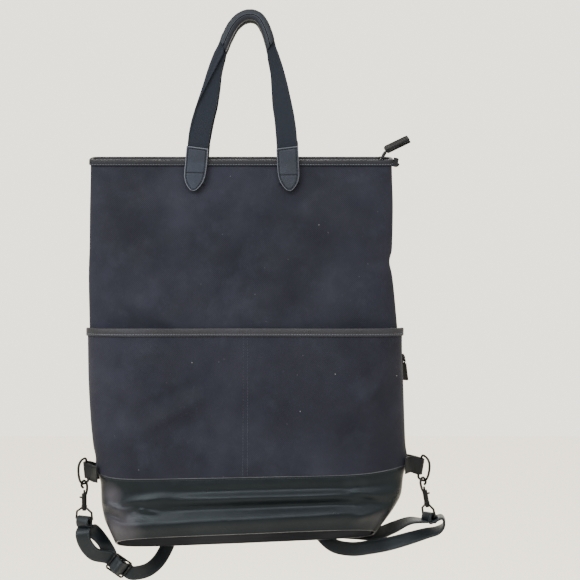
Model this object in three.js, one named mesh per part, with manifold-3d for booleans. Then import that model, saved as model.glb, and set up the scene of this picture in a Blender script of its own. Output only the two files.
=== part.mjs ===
// A flat tote that turns into a backpack, hanging by its two carry handles. Millimetres, +Z up, front towards -Y.
// The origin is the point under the handles' tops where a hook carries them.
import * as THREE from "three";
import { mergeVertices } from "three/addons/utils/BufferGeometryUtils.js";
import Module from "manifold-3d";

const wasm = await Module();
wasm.setup();

// Driving sizes of the bag
const bagWidth = 343;
const bagHeight = 432;
const bagDepth = 72;
const handleDrop = 157;
const bagShift = -11;
const canvasWall = 1.6;
const leatherWall = 1.8;
const clearance = 0.3;
const seamAt = 0.827;

// Front pocket and the leather that binds its edge and the bag's mouth
const pocketAt = 0.446;
const pocketStandOff = 9;
const pocketFlare = 3.4;
const pocketBindingHeight = 7.5;
const mouthBindingHeight = 5.5;
const bindingWall = 1.2;

// Handles
const webbingWidth = 25;
const webbingThickness = 2;
const foldWidth = 8.4;
const foldThickness = 6;
const gripWall = 1.3;
const tabWidth = 25;
const tabLength = 56.5;
const tabAboveMouth = 17;
const webbingBelowMouth = 26;

// Shoulder straps
const strapWidth = 16;
const strapThickness = 2.6;
const patchWidth = 62;
const patchHeight = 30;
const patchWall = 1.4;

// Black metal fittings
const ringWire = 1.4;
const ringInside = 25.7;
const ringDepth = 15;
const ringTabWidth = 18.5;
const tabFootOutset = 4.6;
const ringTabWall = 1.6;
const hookWire = 1.5;
const hookBodyRadius = 2.9;
const hookBodyLength = 13;
const hookLoopWidth = 8;
const hookLoopTop = 27.4;
const boltRadius = 1.15;
const boltTravel = 4.5;
const knobRadius = 1.1;
const knobReach = 6;
const eyeWire = 1.3;
const eyeInside = 19;
const eyeWindow = 11;
const collarRadius = 3.3;
const collarLength = 4.5;
const slideWire = 1.2;
const slideInside = 17.2;
const slideWindow = 8.5;

// Zips
const zipTapeThickness = 1.2;
const zipChainHeight = 1.4;
const sliderWidth = 6;
const sliderLength = 9;
const sliderPlate = 1.2;
const bridgeWire = 0.9;
const bridgeRise = 5.4;
const linkWire = 0.9;
const linkLength = 13;
const linkWidth = 5;
const linkBend = 1;
const pullLength = 28;
const pullWidth = 10;
const pullWall = 1.1;
const sidePullLength = 26;
const sidePullThickness = 2.4;
const sidePullLean = THREE.MathUtils.degToRad(9);

const halfWidth = bagWidth / 2;
const tau = 2 * Math.PI;
const degrees = THREE.MathUtils.degToRad;
const vector = (x, y, z) => new THREE.Vector3(x, y, z);

// The bag's level cuts, from its mouth down. left, right: shares of half the width. front, back: shares of the depth.
// power, corner: how square the cut's ends are. pitch: rise per millimetre towards the back. roll: rise towards the right.
const sections = [
  { at: 0, left: 1, right: 1, front: 0.111, back: 0.111, power: 80, corner: 0.5, pitch: 0.37, roll: 0 },
  { at: 0.05, left: 1.002, right: 1.003, front: 0.135, back: 0.12, power: 16, corner: 0.5, pitch: 0.16, roll: 0 },
  { at: 0.122, left: 1.006, right: 1.008, front: 0.17, back: 0.14, power: 9, corner: 0.5, pitch: 0, roll: 0 },
  { at: 0.236, left: 1.009, right: 1.002, front: 0.205, back: 0.17, power: 6.5, corner: 0.47, pitch: 0, roll: 0 },
  { at: 0.268, left: 1.012, right: 0.985, front: 0.212, back: 0.175, power: 6.2, corner: 0.46, pitch: 0, roll: 0 },
  { at: 0.305, left: 1.014, right: 1.003, front: 0.222, back: 0.185, power: 5.8, corner: 0.45, pitch: 0, roll: 0 },
  { at: 0.434, left: 1.008, right: 1.035, front: 0.26, back: 0.215, power: 5.2, corner: 0.44, pitch: 0, roll: 0 },
  { at: 0.561, left: 1.003, right: 1.061, front: 0.3, back: 0.25, power: 5, corner: 0.43, pitch: 0, roll: 0 },
  { at: 0.677, left: 0.988, right: 1.071, front: 0.36, back: 0.31, power: 4.8, corner: 0.42, pitch: 0, roll: 0 },
  { at: 0.746, left: 0.97, right: 1.077, front: 0.4, back: 0.35, power: 4.6, corner: 0.41, pitch: 0, roll: 0.008 },
  { at: 0.792, left: 0.952, right: 1.088, front: 0.435, back: 0.39, power: 4.5, corner: 0.4, pitch: -0.02, roll: 0.014 },
  { at: 0.827, left: 0.952, right: 1.098, front: 0.455, back: 0.42, power: 4.4, corner: 0.4, pitch: -0.05, roll: 0.02 },
  { at: 0.858, left: 0.93, right: 1.075, front: 0.47, back: 0.45, power: 4.3, corner: 0.39, pitch: -0.1, roll: 0.024 },
  { at: 0.893, left: 0.925, right: 1.062, front: 0.485, back: 0.475, power: 4.2, corner: 0.38, pitch: -0.18, roll: 0.03 },
  { at: 0.934, left: 0.905, right: 1.012, front: 0.49, back: 0.49, power: 4.2, corner: 0.37, pitch: -0.28, roll: 0.036 },
  { at: 0.965, left: 0.872, right: 0.958, front: 0.485, back: 0.495, power: 4.5, corner: 0.35, pitch: -0.35, roll: 0.04 },
  { at: 1, left: 0.832, right: 0.89, front: 0.465, back: 0.49, power: 5, corner: 0.33, pitch: -0.4, roll: 0.042 },
];

// Folds of the front. across, at: the middle, as shares of half the width and of the height. long, wide: the reach along
// and across the fold, as shares of half the width. turn: degrees from level. rise: share of the depth, out of the bag.
const folds = [
  { across: 0.1, at: 0.869, long: 0.95, wide: 0.034, turn: 0, rise: -0.04 },
  { across: 0.2, at: 0.891, long: 0.85, wide: 0.034, turn: 0, rise: 0.034 },
  { across: -0.62, at: 0.893, long: 0.2, wide: 0.04, turn: 16, rise: 0.026 },
  { across: 0.15, at: 0.917, long: 0.8, wide: 0.042, turn: 0, rise: -0.046 },
  { across: 0.05, at: 0.962, long: 1, wide: 0.045, turn: 1, rise: 0.034 },
  { across: -0.8, at: 0.915, long: 0.13, wide: 0.022, turn: -20, rise: -0.04 },
  { across: 0.78, at: 0.9, long: 0.12, wide: 0.03, turn: -24, rise: -0.03 },
  { across: -0.42, at: 0.66, long: 0.24, wide: 0.05, turn: 28, rise: 0.024 },
  { across: -0.46, at: 0.615, long: 0.22, wide: 0.045, turn: 26, rise: -0.014 },
  { across: -0.82, at: 0.68, long: 0.14, wide: 0.05, turn: 62, rise: -0.02 },
  { across: 0.93, at: 0.268, long: 0.12, wide: 0.03, turn: 12, rise: -0.03 },
];

// Monotone cubic through a table's column.
function smooth(table, column, at) {
  const last = table.length - 1;
  let i = 0;
  while (i < last - 1 && at > table[i + 1].at) i++;
  const slope = (k) => (table[k + 1][column] - table[k][column]) / (table[k + 1].at - table[k].at);
  const tangent = (k) => {
    if (k === 0) return slope(0);
    if (k === last) return slope(last - 1);
    const [before, after] = [slope(k - 1), slope(k)];
    return before * after <= 0 ? 0 : (2 * before * after) / (before + after);
  };
  const span = table[i + 1].at - table[i].at;
  const t = THREE.MathUtils.clamp((at - table[i].at) / span, 0, 1);
  const rise = t * t * (3 - 2 * t);
  return (
    table[i][column] * (1 - rise) +
    table[i + 1][column] * rise +
    span * (tangent(i) * t * (1 - t) ** 2 - tangent(i + 1) * t * t * (1 - t))
  );
}

function foldAt(x, at) {
  let rise = 0;
  for (const fold of folds) {
    const across = (x - bagShift) / halfWidth - fold.across;
    const down = ((fold.at - at) * bagHeight) / halfWidth;
    const turn = degrees(fold.turn);
    const along = across * Math.cos(turn) + down * Math.sin(turn);
    const off = down * Math.cos(turn) - across * Math.sin(turn);
    rise += fold.rise * Math.exp(-((along / fold.long) ** 4) - (off / fold.wide) ** 2);
  }
  return rise * bagDepth;
}

// A point of the bag's surface. angle: 0 at the right edge, pi at the left, and over pi on the front. inset: towards the inside.
function bagPoint(angle, at, inset = 0, lift = 0) {
  const of = (column) => smooth(sections, column, at);
  const across = Math.cos(angle);
  const front = Math.sin(angle) < -1e-9;
  const left = bagShift - of("left") * halfWidth + inset;
  const right = bagShift + of("right") * halfWidth - inset;
  const x = (left + right) / 2 + (across * (right - left)) / 2;
  const fill = Math.max(0, 1 - Math.abs(across) ** of("power")) ** of("corner");
  const depth = of(front ? "front" : "back") * bagDepth - inset;
  const fold = front ? foldAt(x, at) * Math.min(1, 2 * fill) : 0;
  const y = (front ? -1 : 1) * (depth + fold) * fill;
  const z = -handleDrop - at * bagHeight + of("pitch") * y + of("roll") * (x - bagShift) + lift;
  return vector(x, y, z);
}

// The place at shares of half the width, the depth and the height.
const place = (across, back, down) =>
  vector(bagShift + across * halfWidth, back * bagDepth, -handleDrop - down * bagHeight);

const steps = (from, to, count) =>
  Array.from({ length: count + 1 }, (_, i) => from + ((to - from) * i) / count);

// Builders of closed surfaces
function closed(points, faces) {
  const geometry = new THREE.BufferGeometry().setFromPoints(points);
  let volume = 0;
  for (let i = 0; i < faces.length; i += 3) {
    const [a, b, c] = [points[faces[i]], points[faces[i + 1]], points[faces[i + 2]]];
    volume += a.dot(b.clone().cross(c));
  }
  geometry.setIndex(volume < 0 ? faces.reverse() : faces);
  geometry.computeVertexNormals();
  return geometry;
}

// A wall between two grids of points, joined all round its rim. wrap closes each row on itself.
function shell(outer, inner, wrap = false) {
  const rows = outer.length;
  const columns = outer[0].length;
  const faces = [];
  const at = (side, i, j) => (side * rows + i) * columns + (j % columns);
  const quad = (a, b, c, d) => faces.push(a, b, c, a, c, d);
  const lastRow = rows - 1;
  const lastColumn = columns - 1;
  const across = wrap ? columns : lastColumn;
  for (let j = 0; j < across; j++) {
    for (let i = 0; i < lastRow; i++) {
      quad(at(0, i, j), at(0, i + 1, j), at(0, i + 1, j + 1), at(0, i, j + 1));
      quad(at(1, i, j), at(1, i, j + 1), at(1, i + 1, j + 1), at(1, i + 1, j));
    }
    quad(at(0, 0, j), at(0, 0, j + 1), at(1, 0, j + 1), at(1, 0, j));
    quad(at(0, lastRow, j + 1), at(0, lastRow, j), at(1, lastRow, j), at(1, lastRow, j + 1));
  }
  for (let i = 0; i < lastRow && !wrap; i++) {
    quad(at(0, i + 1, 0), at(0, i, 0), at(1, i, 0), at(1, i + 1, 0));
    quad(at(0, i, lastColumn), at(0, i + 1, lastColumn), at(1, i + 1, lastColumn), at(1, i, lastColumn));
  }
  return closed([...outer.flat(), ...inner.flat()], faces);
}

// A round wire through points that lie in a plane across `normal`.
function wire(points, radius, normal, ring = false, sides = 8) {
  const last = points.length - 1;
  const circles = points.map((point, i) => {
    const before = points[ring ? (i + last) % points.length : Math.max(0, i - 1)];
    const after = points[ring ? (i + 1) % points.length : Math.min(last, i + 1)];
    const along = after.clone().sub(before).normalize();
    const side = along.clone().cross(normal).normalize();
    return steps(0, tau, sides).slice(0, sides).map((angle) =>
      point.clone()
        .addScaledVector(normal, radius * Math.sin(angle))
        .addScaledVector(side, radius * Math.cos(angle)));
  });
  const count = circles.length;
  const all = circles.flat();
  const faces = [];
  for (let i = 0; i < (ring ? count : count - 1); i++)
    for (let j = 0; j < sides; j++) {
      const [here, next, k] = [i * sides, ((i + 1) % count) * sides, (j + 1) % sides];
      faces.push(here + j, next + j, next + k, here + j, next + k, here + k);
    }
  for (let j = 1; j < sides - 1 && !ring; j++) {
    const end = (count - 1) * sides;
    faces.push(0, j, j + 1, end, end + j + 1, end + j);
  }
  return closed(all, faces);
}

// Points and width directions along a smooth route. A row holds its point, lean and tip, the width's angles, and the
// number of steps to the next row, when it isn't `each`.
function route(rows, each) {
  const widths = rows.map(({ lean, tip = 0 }) => vector(
    Math.cos(degrees(lean)) * Math.cos(degrees(tip)),
    Math.sin(degrees(tip)),
    Math.sin(degrees(lean)) * Math.cos(degrees(tip)),
  ));
  const line = new THREE.CatmullRomCurve3(rows.map((row) => row.point), false, "centripetal");
  const turns = new THREE.CatmullRomCurve3(widths, false, "centripetal");
  const last = rows.length - 1;
  const places = rows.slice(0, last).flatMap((row, i) => steps(i, i + 1, row.steps ?? each).slice(0, -1));
  return [...places, last].map((at) => {
    const t = at / last;
    const along = line.getTangent(t);
    const wide = turns.getPoint(t);
    wide.addScaledVector(along, -wide.dot(along)).normalize();
    return { point: line.getPoint(t), wide, out: along.clone().cross(wide) };
  });
}

// A flat strip along a route.
function strip(stations, width, thickness) {
  const edge = (side, out) => stations.map(({ point, wide, out: normal }) =>
    point.clone()
      .addScaledVector(wide, (side * width) / 2)
      .addScaledVector(normal, (out * thickness) / 2));
  return shell([edge(-1, 1), edge(1, 1)], [edge(-1, -1), edge(1, -1)]);
}

// A section with eight corners round a route's station.
function eightSided({ point, wide, out }, width, thickness) {
  return [[-1, -0.4], [-0.7, -1], [0.7, -1], [1, -0.4], [1, 0.4], [0.7, 1], [-0.7, 1], [-1, 0.4]].map(([a, b]) =>
    point.clone()
      .addScaledVector(wide, (a * width) / 2)
      .addScaledVector(out, (b * thickness) / 2));
}

// Booleans
function solid(geometry) {
  const plain = geometry.clone();
  plain.deleteAttribute("normal");
  plain.deleteAttribute("uv");
  const merged = mergeVertices(plain, 1e-4);
  return new wasm.Manifold(new wasm.Mesh({
    numProp: 3,
    vertProperties: merged.attributes.position.array,
    triVerts: new Uint32Array(merged.index.array),
  }));
}

function geometryOf(manifold) {
  const mesh = manifold.getMesh();
  const geometry = new THREE.BufferGeometry();
  geometry.setAttribute("position", new THREE.BufferAttribute(mesh.vertProperties, 3));
  geometry.setIndex(new THREE.BufferAttribute(mesh.triVerts, 1));
  geometry.computeVertexNormals();
  return geometry;
}

const joined = (...geometries) => geometryOf(geometries.map(solid).reduce((a, b) => a.add(b)));
const cut = (geometry, ...tools) => geometryOf(tools.map(solid).reduce((a, b) => a.subtract(b), solid(geometry)));
const block = (x, y, z, cx = 0, cy = 0, cz = 0) => new THREE.BoxGeometry(x, y, z).translate(cx, cy, cz);
const post = (radius, bottom, top, sides = 12) =>
  new THREE.CylinderGeometry(radius, radius, top - bottom, sides)
    .rotateX(Math.PI / 2)
    .translate(0, 0, (top + bottom) / 2);

// Materials
const finish = (color, roughness, metalness = 0) =>
  new THREE.MeshStandardMaterial({ color, roughness, metalness });
const canvas = finish(0x34343c, 0.9);
const leather = finish(0x35393d, 0.5);
const webbing = finish(0x2c2e36, 0.85);
const metal = finish(0x1c1d1c, 0.4, 0.8);
const zipTape = finish(0x202126, 0.85);

const bag = new THREE.Group();
function add(name, geometry, material, matrix = new THREE.Matrix4()) {
  const mesh = new THREE.Mesh(geometry, material);
  mesh.name = name;
  mesh.applyMatrix4(matrix);
  bag.add(mesh);
}

// The bag's walls
const roundStations = 32;
const around = steps(0, tau, roundStations).slice(0, roundStations);
const wallGrid = (levels, inset) => levels.map((at) => around.map((angle) => bagPoint(angle, at, inset)));
const seamGap = clearance / bagHeight / 2;

function canvasBody() {
  const levels = [0, mouthBindingHeight / bagHeight, 0.06, 0.15, 0.25, 0.268, 0.44, 0.56, 0.66, 0.75, seamAt - seamGap];
  return shell(wallGrid(levels, 0), wallGrid(levels, canvasWall), true);
}

function leatherBase() {
  const levels = [seamAt + seamGap, 0.848, 0.869, 0.891, 0.917, 0.96, 1];
  return shell(wallGrid(levels, 0), wallGrid(levels, leatherWall), true);
}

function basePanel() {
  const inset = leatherWall + 2 * clearance;
  const ends = 0.06 * Math.PI;
  const rows = steps(Math.PI + ends, tau - ends, 14);
  const face = (lift) => rows.map((angle) => {
    const front = bagPoint(angle, 1, inset);
    const back = bagPoint(tau - angle, 1, inset);
    return steps(0, 1, 4).map((t) => {
      const sag = 4 * t * (1 - t) * Math.sin(angle) * 0.05 * bagDepth;
      return front.clone().lerp(back, t).add(vector(0, 0, sag + lift));
    });
  });
  return shell(face(leatherWall + clearance), face(clearance));
}

function frontPocket() {
  const bottom = seamAt - seamGap;
  const levels = [pocketAt, pocketAt + pocketBindingHeight / bagHeight, 0.5, 0.56, 0.61, 0.66, 0.75, bottom];
  return pocketWall(levels, 0, canvasWall);
}

// How far the pocket stands off the bag: it is sewn along its middle, its sides and its lower edge.
function pocketOutset(angle, at) {
  const down = (at - pocketAt) / (seamAt - pocketAt);
  const pouch = Math.sin(2 * angle) ** 2;
  const flare = pocketFlare * Math.max(0, Math.cos(angle)) ** 6 * Math.max(0, 1 - 3.2 * down) ** 2;
  return 1.5 * clearance + pocketStandOff * pouch * Math.max(0, 1 - down ** 1.5) + flare;
}

function pocketWall(levels, from, to, lift = 0) {
  const angles = steps(Math.PI, tau, roundStations / 2);
  const face = (outset) => levels.map((at) => angles.map((angle) =>
    bagPoint(angle, at, -pocketOutset(angle, at) - outset, lift)));
  return shell(face(to), face(from));
}

// A strip folded over the edge of a wall: out, over and in.
function foldedEdge(points, outside, inside, height, wall) {
  const outer = [
    points(-outside - wall, -height),
    points(-outside - wall, clearance + wall),
    points(inside + wall, clearance + wall),
    points(inside + wall, -height),
  ];
  const inner = [
    points(-outside, -height),
    points(-outside, clearance),
    points(inside, clearance),
    points(inside, -height),
  ];
  return [outer, inner];
}

function mouthBinding() {
  const points = (inset, lift) => around.map((angle) =>
    bagPoint(angle, Math.max(0, -lift / bagHeight), inset, Math.max(0, lift)));
  const [outer, inner] = foldedEdge(points, 1.6 * clearance, canvasWall + 1.6 * clearance, mouthBindingHeight, bindingWall);
  return shell(outer, inner, true);
}

// Over the pocket's upper edge: down its outside, and over the top.
function pocketBinding() {
  const angles = steps(Math.PI, tau, roundStations / 2);
  const row = (outset, lift) => angles.map((angle) => {
    const at = pocketAt - lift / bagHeight;
    return bagPoint(angle, at, -pocketOutset(angle, Math.max(at, pocketAt)) - outset);
  });
  const outside = canvasWall + 1.5 * clearance;
  return shell(
    [row(outside + bindingWall, -pocketBindingHeight), row(outside + bindingWall, clearance + bindingWall),
      row(0, clearance + bindingWall)],
    [row(outside, -pocketBindingHeight), row(outside, clearance), row(0, clearance)],
  );
}

// The point of the front or back at x, `drop` millimetres below the mouth, or above it when negative.
function onFace(side, x, drop, outset) {
  const at = Math.max(0, drop / bagHeight);
  const left = bagShift - smooth(sections, "left", at) * halfWidth - outset;
  const right = bagShift + smooth(sections, "right", at) * halfWidth + outset;
  const angle = Math.acos((2 * x - left - right) / (right - left));
  return bagPoint(side < 0 ? tau - angle : angle, at, -outset, Math.max(0, -drop));
}

// Each handle's foot on the mouth: x, and how far the tab leans towards the middle per millimetre of height.
const handleFeet = [
  { name: "left", x: -61.2, lean: 0.085 },
  { name: "right", x: 42.2, lean: -0.075 },
];

// The handle over the mouth, from its left foot to its right one. x, up: place. open: 0 folded, 1 flat.
const handleRun = [
  { x: -57.2, up: -128, open: 1 },
  { x: -53.2, up: -110, open: 1 },
  { x: -48.6, up: -93.6, open: 0.95 },
  { x: -44.2, up: -75, open: 0.62 },
  { x: -40.4, up: -57, open: 0.3 },
  { x: -34.8, up: -38.6, open: 0.05 },
  { x: -27.8, up: -20.3, open: 0 },
  { x: -19, up: -4, open: 0 },
  { x: -9.5, up: 4.2, open: 0 },
  { x: 0, up: 6.4, open: 0 },
  { x: 8.4, up: 3.6, open: 0 },
  { x: 14.8, up: -4.8, open: 0 },
  { x: 20.6, up: -20.3, open: 0 },
  { x: 24.6, up: -38.6, open: 0.05 },
  { x: 29.2, up: -57, open: 0.3 },
  { x: 32.2, up: -75, open: 0.62 },
  { x: 34.8, up: -93.6, open: 0.95 },
  { x: 37.6, up: -110, open: 1 },
  { x: 39.6, up: -128, open: 1 },
];
const webbingOutset = 3 * clearance + bindingWall + webbingThickness / 2;
const tabOutset = webbingOutset + webbingThickness / 2 + 2 * clearance + leatherWall / 2;

function handleStations(side) {
  const foot = ({ x, lean }, drop) => ({ point: onFace(side, x - lean * drop, drop, webbingOutset), lean: 0, open: 1, steps: 1 });
  const run = handleRun.map(({ x, up, open }, i) => {
    const high = THREE.MathUtils.smoothstep(up, -handleDrop, 0);
    const next = handleRun[Math.min(i + 1, handleRun.length - 1)];
    const last = handleRun[Math.max(i - 1, 0)];
    const heading = Math.atan2(next.up - last.up, next.x - last.x);
    const y = side * (11.5 * (1 - high) + 6.8 * high);
    return { point: vector(x, y, up), lean: THREE.MathUtils.radToDeg(heading) - 90, open, steps: up > -50 ? 2 : 1 };
  });
  const [left, right] = handleFeet;
  const rows = [
    foot(left, webbingBelowMouth), foot(left, 8), foot(left, -8), ...run,
    foot(right, -8), foot(right, 8), foot(right, webbingBelowMouth),
  ];
  const half = rows.length / 2;
  rows.forEach((row, i) => { if (i > half) row.lean -= row.lean > 0 ? 180 : 0; });
  rows.slice(-3).forEach((row) => { row.lean = -180; });
  return route(rows, 2).map((station) => {
    const open = THREE.MathUtils.clamp(openAt(rows, station.point), 0, 1);
    return { ...station, open };
  });
}

function openAt(rows, point) {
  let nearest = 0;
  rows.forEach((row, i) => {
    if (row.point.distanceTo(point) < rows[nearest].point.distanceTo(point)) nearest = i;
  });
  let [sum, weight] = [0, 0];
  for (const k of [nearest - 1, nearest, nearest + 1]) {
    if (!rows[k]) continue;
    const near = 1 / (0.5 + rows[k].point.distanceTo(point)) ** 2;
    sum += rows[k].open * near;
    weight += near;
  }
  return sum / weight;
}

function handleWebbing(side) {
  const sectionsAlong = handleStations(side).map((station) => {
    const width = THREE.MathUtils.lerp(foldWidth, webbingWidth - 1.5, station.open);
    const thickness = THREE.MathUtils.lerp(foldThickness, webbingThickness, Math.min(1, station.open * 1.25));
    return eightSided(station, width, thickness);
  });
  const upper = sectionsAlong.map((ring) => [ring[0], ring[1], ring[2], ring[3]]);
  const lower = sectionsAlong.map((ring) => [ring[7], ring[6], ring[5], ring[4]]);
  return shell(upper, lower);
}

function handleGrip(side) {
  const stations = handleStations(side).filter(({ point, open }) => open < 0.03 && point.z > -32);
  const tube = (gap) => stations.map((station) =>
    eightSided(station, foldWidth + 2 * gap + 0.6, foldThickness + 2 * gap + 0.4));
  return shell(tube(clearance + gripWall), tube(clearance), true);
}

function handleTab(side, { x, lean }) {
  const outline = [
    { t: 0, share: 0.96 }, { t: 0.336, share: 1 }, { t: 0.513, share: 1 }, { t: 0.655, share: 0.97 },
    { t: 0.779, share: 0.84 }, { t: 0.885, share: 0.6 }, { t: 0.965, share: 0.32 }, { t: 1, share: 0.06 },
  ];
  const face = (outset) => outline.map(({ t, share }) => {
    const drop = t * tabLength - tabAboveMouth;
    return [-1, -0.5, 0, 0.5, 1].map((s) => onFace(side, x - lean * drop + (s * share * tabWidth) / 2, drop, outset));
  });
  return shell(face(tabOutset + leatherWall / 2), face(tabOutset - leatherWall / 2));
}

// Zips. A tape with its raised chain along the middle: two rows of points, and the way out from it.
const chainColumns = [[0, 0], [0.29, 0], [0.31, 1], [0.69, 1], [0.71, 0], [1, 0]];

function topZip() {
  const inset = canvasWall + bindingWall + 4 * clearance;
  const angles = steps(Math.PI + 0.18, tau - 0.18, 12);
  const face = (height, low) => angles.map((angle) => {
    const front = bagPoint(angle, 0.007, inset);
    const back = bagPoint(tau - angle, 0.007, inset);
    return chainColumns.map(([t, raised]) =>
      front.clone().lerp(back, t).add(vector(0, 0, low + height * raised)));
  });
  const tape = shell(face(zipChainHeight, 0), face(0, -zipTapeThickness));
  return cut(tape, placed(block(3.2, 2.2, 12), topSliderFrame));
}

const sideZipAngles = [0.02, 0.24];
const sideZipPoint = (t, at, rise) =>
  bagPoint(THREE.MathUtils.lerp(...sideZipAngles, t), at, -1.5 * clearance - zipTapeThickness - rise);

function sideZip() {
  const levels = [0.455, 0.49, 0.53, 0.57, 0.62, 0.68, 0.72];
  const face = (height, low) => levels.map((at) =>
    chainColumns.map(([t, raised]) => sideZipPoint(t, at, low + height * raised)));
  return shell(face(zipChainHeight, 0), face(0, -zipTapeThickness));
}

// A slider along local X, lying on local Z = 0: plate, neck and the bridge that carries the pull.
function sliderBody(neckDown) {
  const plate = block(sliderLength, sliderWidth, sliderPlate, 0, 0, sliderPlate / 2);
  const rise = bridgeRise;
  const bridge = wire([
    vector(-3.4, 0, 0.4), vector(-3.4, 0, rise * 0.55), vector(-2, 0, rise - bridgeWire),
    vector(0.6, 0, rise - bridgeWire), vector(2.4, 0, rise * 0.6), vector(2.9, 0, 0.4),
  ], bridgeWire, vector(0, 1, 0));
  if (!neckDown) return joined(plate, bridge);
  const neck = block(2, 1.2, neckDown + 0.4, 0, 0, 0.2 - neckDown / 2);
  const lower = block(sliderLength, sliderWidth * 0.8, 1, 0, 0, -neckDown - 0.3);
  return joined(plate, bridge, neck, lower);
}

const frameOf = (origin, x, z) => {
  const zAxis = z.clone().normalize();
  const xAxis = x.clone().addScaledVector(zAxis, -x.dot(zAxis)).normalize();
  return new THREE.Matrix4().makeBasis(xAxis, zAxis.clone().cross(xAxis), zAxis).setPosition(origin);
};

// Top slider: on the zip, near its right end. Its link and pull stand up to the right.
const topSliderAt = (() => {
  const angle = tau - 0.31;
  const inset = canvasWall + bindingWall + 4 * clearance;
  return bagPoint(angle, 0.007, inset).lerp(bagPoint(tau - angle, 0.007, inset), 0.5);
})();
const topSliderUp = vector(0, -smooth(sections, "pitch", 0.007), 1).normalize();
const topSliderFrame = frameOf(
  topSliderAt.clone().addScaledVector(topSliderUp, zipChainHeight + clearance), vector(1, 0, 0), topSliderUp);
const topLinkAngle = degrees(58);
const topPullAngle = degrees(27);
const topPin = vector(-0.6, 0, bridgeRise - 2 * bridgeWire - clearance - linkWire);

// The link, from its lower bar at the origin along local X.
function zipLink() {
  const half = linkWidth / 2;
  return wire([
    vector(0, -half, 0), vector(0, half, 0), vector(linkLength, half, 0), vector(linkLength, -half, 0),
  ].flatMap((corner, i, all) => {
    const side = all[(i + 1) % 4].clone().sub(corner);
    const bend = side.clone().setLength(linkBend);
    return [corner.clone().add(bend), corner.clone().add(side).sub(bend)];
  }), linkWire, vector(0, 0, 1), true, 6);
}

// A leather pull folded round the link's far bar, from the fold along local X.
function foldedPull(length, width) {
  const half = linkWire + clearance + 1.5;
  const rows = [
    [length, -half * 0.62], [length * 0.35, -half * 0.75], [half * 0.9, -half], [-half * 0.75, -half * 0.62],
    [-half * 1.02, 0], [-half * 0.75, half * 0.62], [half * 0.9, half], [length * 0.35, half * 0.75],
    [length, half * 0.62],
  ].map(([x, z]) => ({ point: vector(x, 0, z), lean: 0, tip: 90 }));
  const slot = (y) => block(4, 2 * linkWire + 2 * clearance, 7, -2.2, y, 0);
  return cut(strip(route(rows, 2), width, pullWall), slot(linkWidth / 2), slot(-linkWidth / 2));
}

const placed = (geometry, matrix) => geometry.clone().applyMatrix4(matrix);
const turned = (origin, angle) =>
  new THREE.Matrix4().makeTranslation(origin.x, origin.y, origin.z)
    .multiply(new THREE.Matrix4().makeRotationY(-angle));

const linkMatrix = topSliderFrame.clone().multiply(turned(topPin, topLinkAngle));
const pullMatrix = linkMatrix.clone().multiply(turned(vector(linkLength, 0, 0), topPullAngle - topLinkAngle));

const sideSliderAt = 0.523;
const sideFrame = (() => {
  const across = sideZipPoint(0.9, sideSliderAt, 0).sub(sideZipPoint(0.1, sideSliderAt, 0));
  const along = sideZipPoint(0.5, sideSliderAt - 0.01, 0).sub(sideZipPoint(0.5, sideSliderAt + 0.01, 0));
  const out = across.cross(along).normalize();
  const origin = sideZipPoint(0.5, sideSliderAt, zipChainHeight + 0.6).addScaledVector(out, clearance);
  return frameOf(origin, along, out);
})();
const sidePin = vector(-0.6, 0, bridgeRise - 2 * bridgeWire - clearance - linkWire).applyMatrix4(sideFrame);

// The side pull hangs from the origin, its eye round the slider's bridge.
function sidePull() {
  const radius = 2.9;
  const eye = wire(steps(0, tau, 10).slice(0, 10).map((angle) =>
    vector(0, radius * Math.sin(angle), radius * Math.cos(angle) - radius)), linkWire, vector(1, 0, 0), true, 6);
  const top = -2 * radius - linkWire * 0.3;
  const tongue = block(sidePullThickness, 6.5, sidePullLength + top, 0, 0, (top - sidePullLength) / 2);
  return joined(eye, tongue);
}
const sidePullMatrix = (() => {
  const out = vector(0, 0, 1).transformDirection(sideFrame).setZ(0).normalize();
  const up = vector(0, 0, 1).multiplyScalar(Math.cos(sidePullLean)).addScaledVector(out, -Math.sin(sidePullLean));
  return frameOf(sidePin, out, up);
})();

// Strap fittings. lean: how far the hook's foot swings out, in degrees. eyeTurn: the eye about the hook.
const fittings = [
  { name: "left", out: -1, turn: 66, droop: 9, bar: place(-1.0233, -0.014, 0.8171), lean: 0, eyeTurn: 0 },
  { name: "right", out: 1, turn: 58, droop: 15, bar: place(1.1866, -0.014, 0.8079), lean: 10, eyeTurn: 90 },
];

function ringFrame({ out, turn, droop, bar }) {
  const outward = vector(out * Math.cos(degrees(turn)), -Math.sin(degrees(turn)), 0);
  const up = vector(0, 0, 1);
  const down = degrees(droop);
  const barWay = up.clone().multiplyScalar(Math.cos(down)).addScaledVector(outward, Math.sin(down));
  const reach = outward.clone().multiplyScalar(Math.cos(down)).addScaledVector(up, -Math.sin(down));
  return { bar, barWay, reach };
}

function ringLine(fitting) {
  const { bar, barWay, reach } = ringFrame(fitting);
  const half = ringInside / 2 + ringWire;
  const depth = ringDepth + ringWire;
  const shape = [[-0.78, 0], [0, 0], [0.78, 0], [0.95, 0.07], [1, 0.25], [0.95, 0.6], [0.7, 0.88], [0.25, 1],
    [-0.25, 1], [-0.7, 0.88], [-0.95, 0.6], [-1, 0.25], [-0.95, 0.07]];
  return shape.map(([a, b]) => bar.clone().addScaledVector(barWay, a * half).addScaledVector(reach, b * depth));
}

function ringWireShape(fitting) {
  const { barWay, reach } = ringFrame(fitting);
  const line = new THREE.CatmullRomCurve3(ringLine(fitting), true, "centripetal");
  return wire(line.getPoints(22).slice(0, 22), ringWire, barWay.clone().cross(reach).normalize(), true, 6);
}

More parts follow.
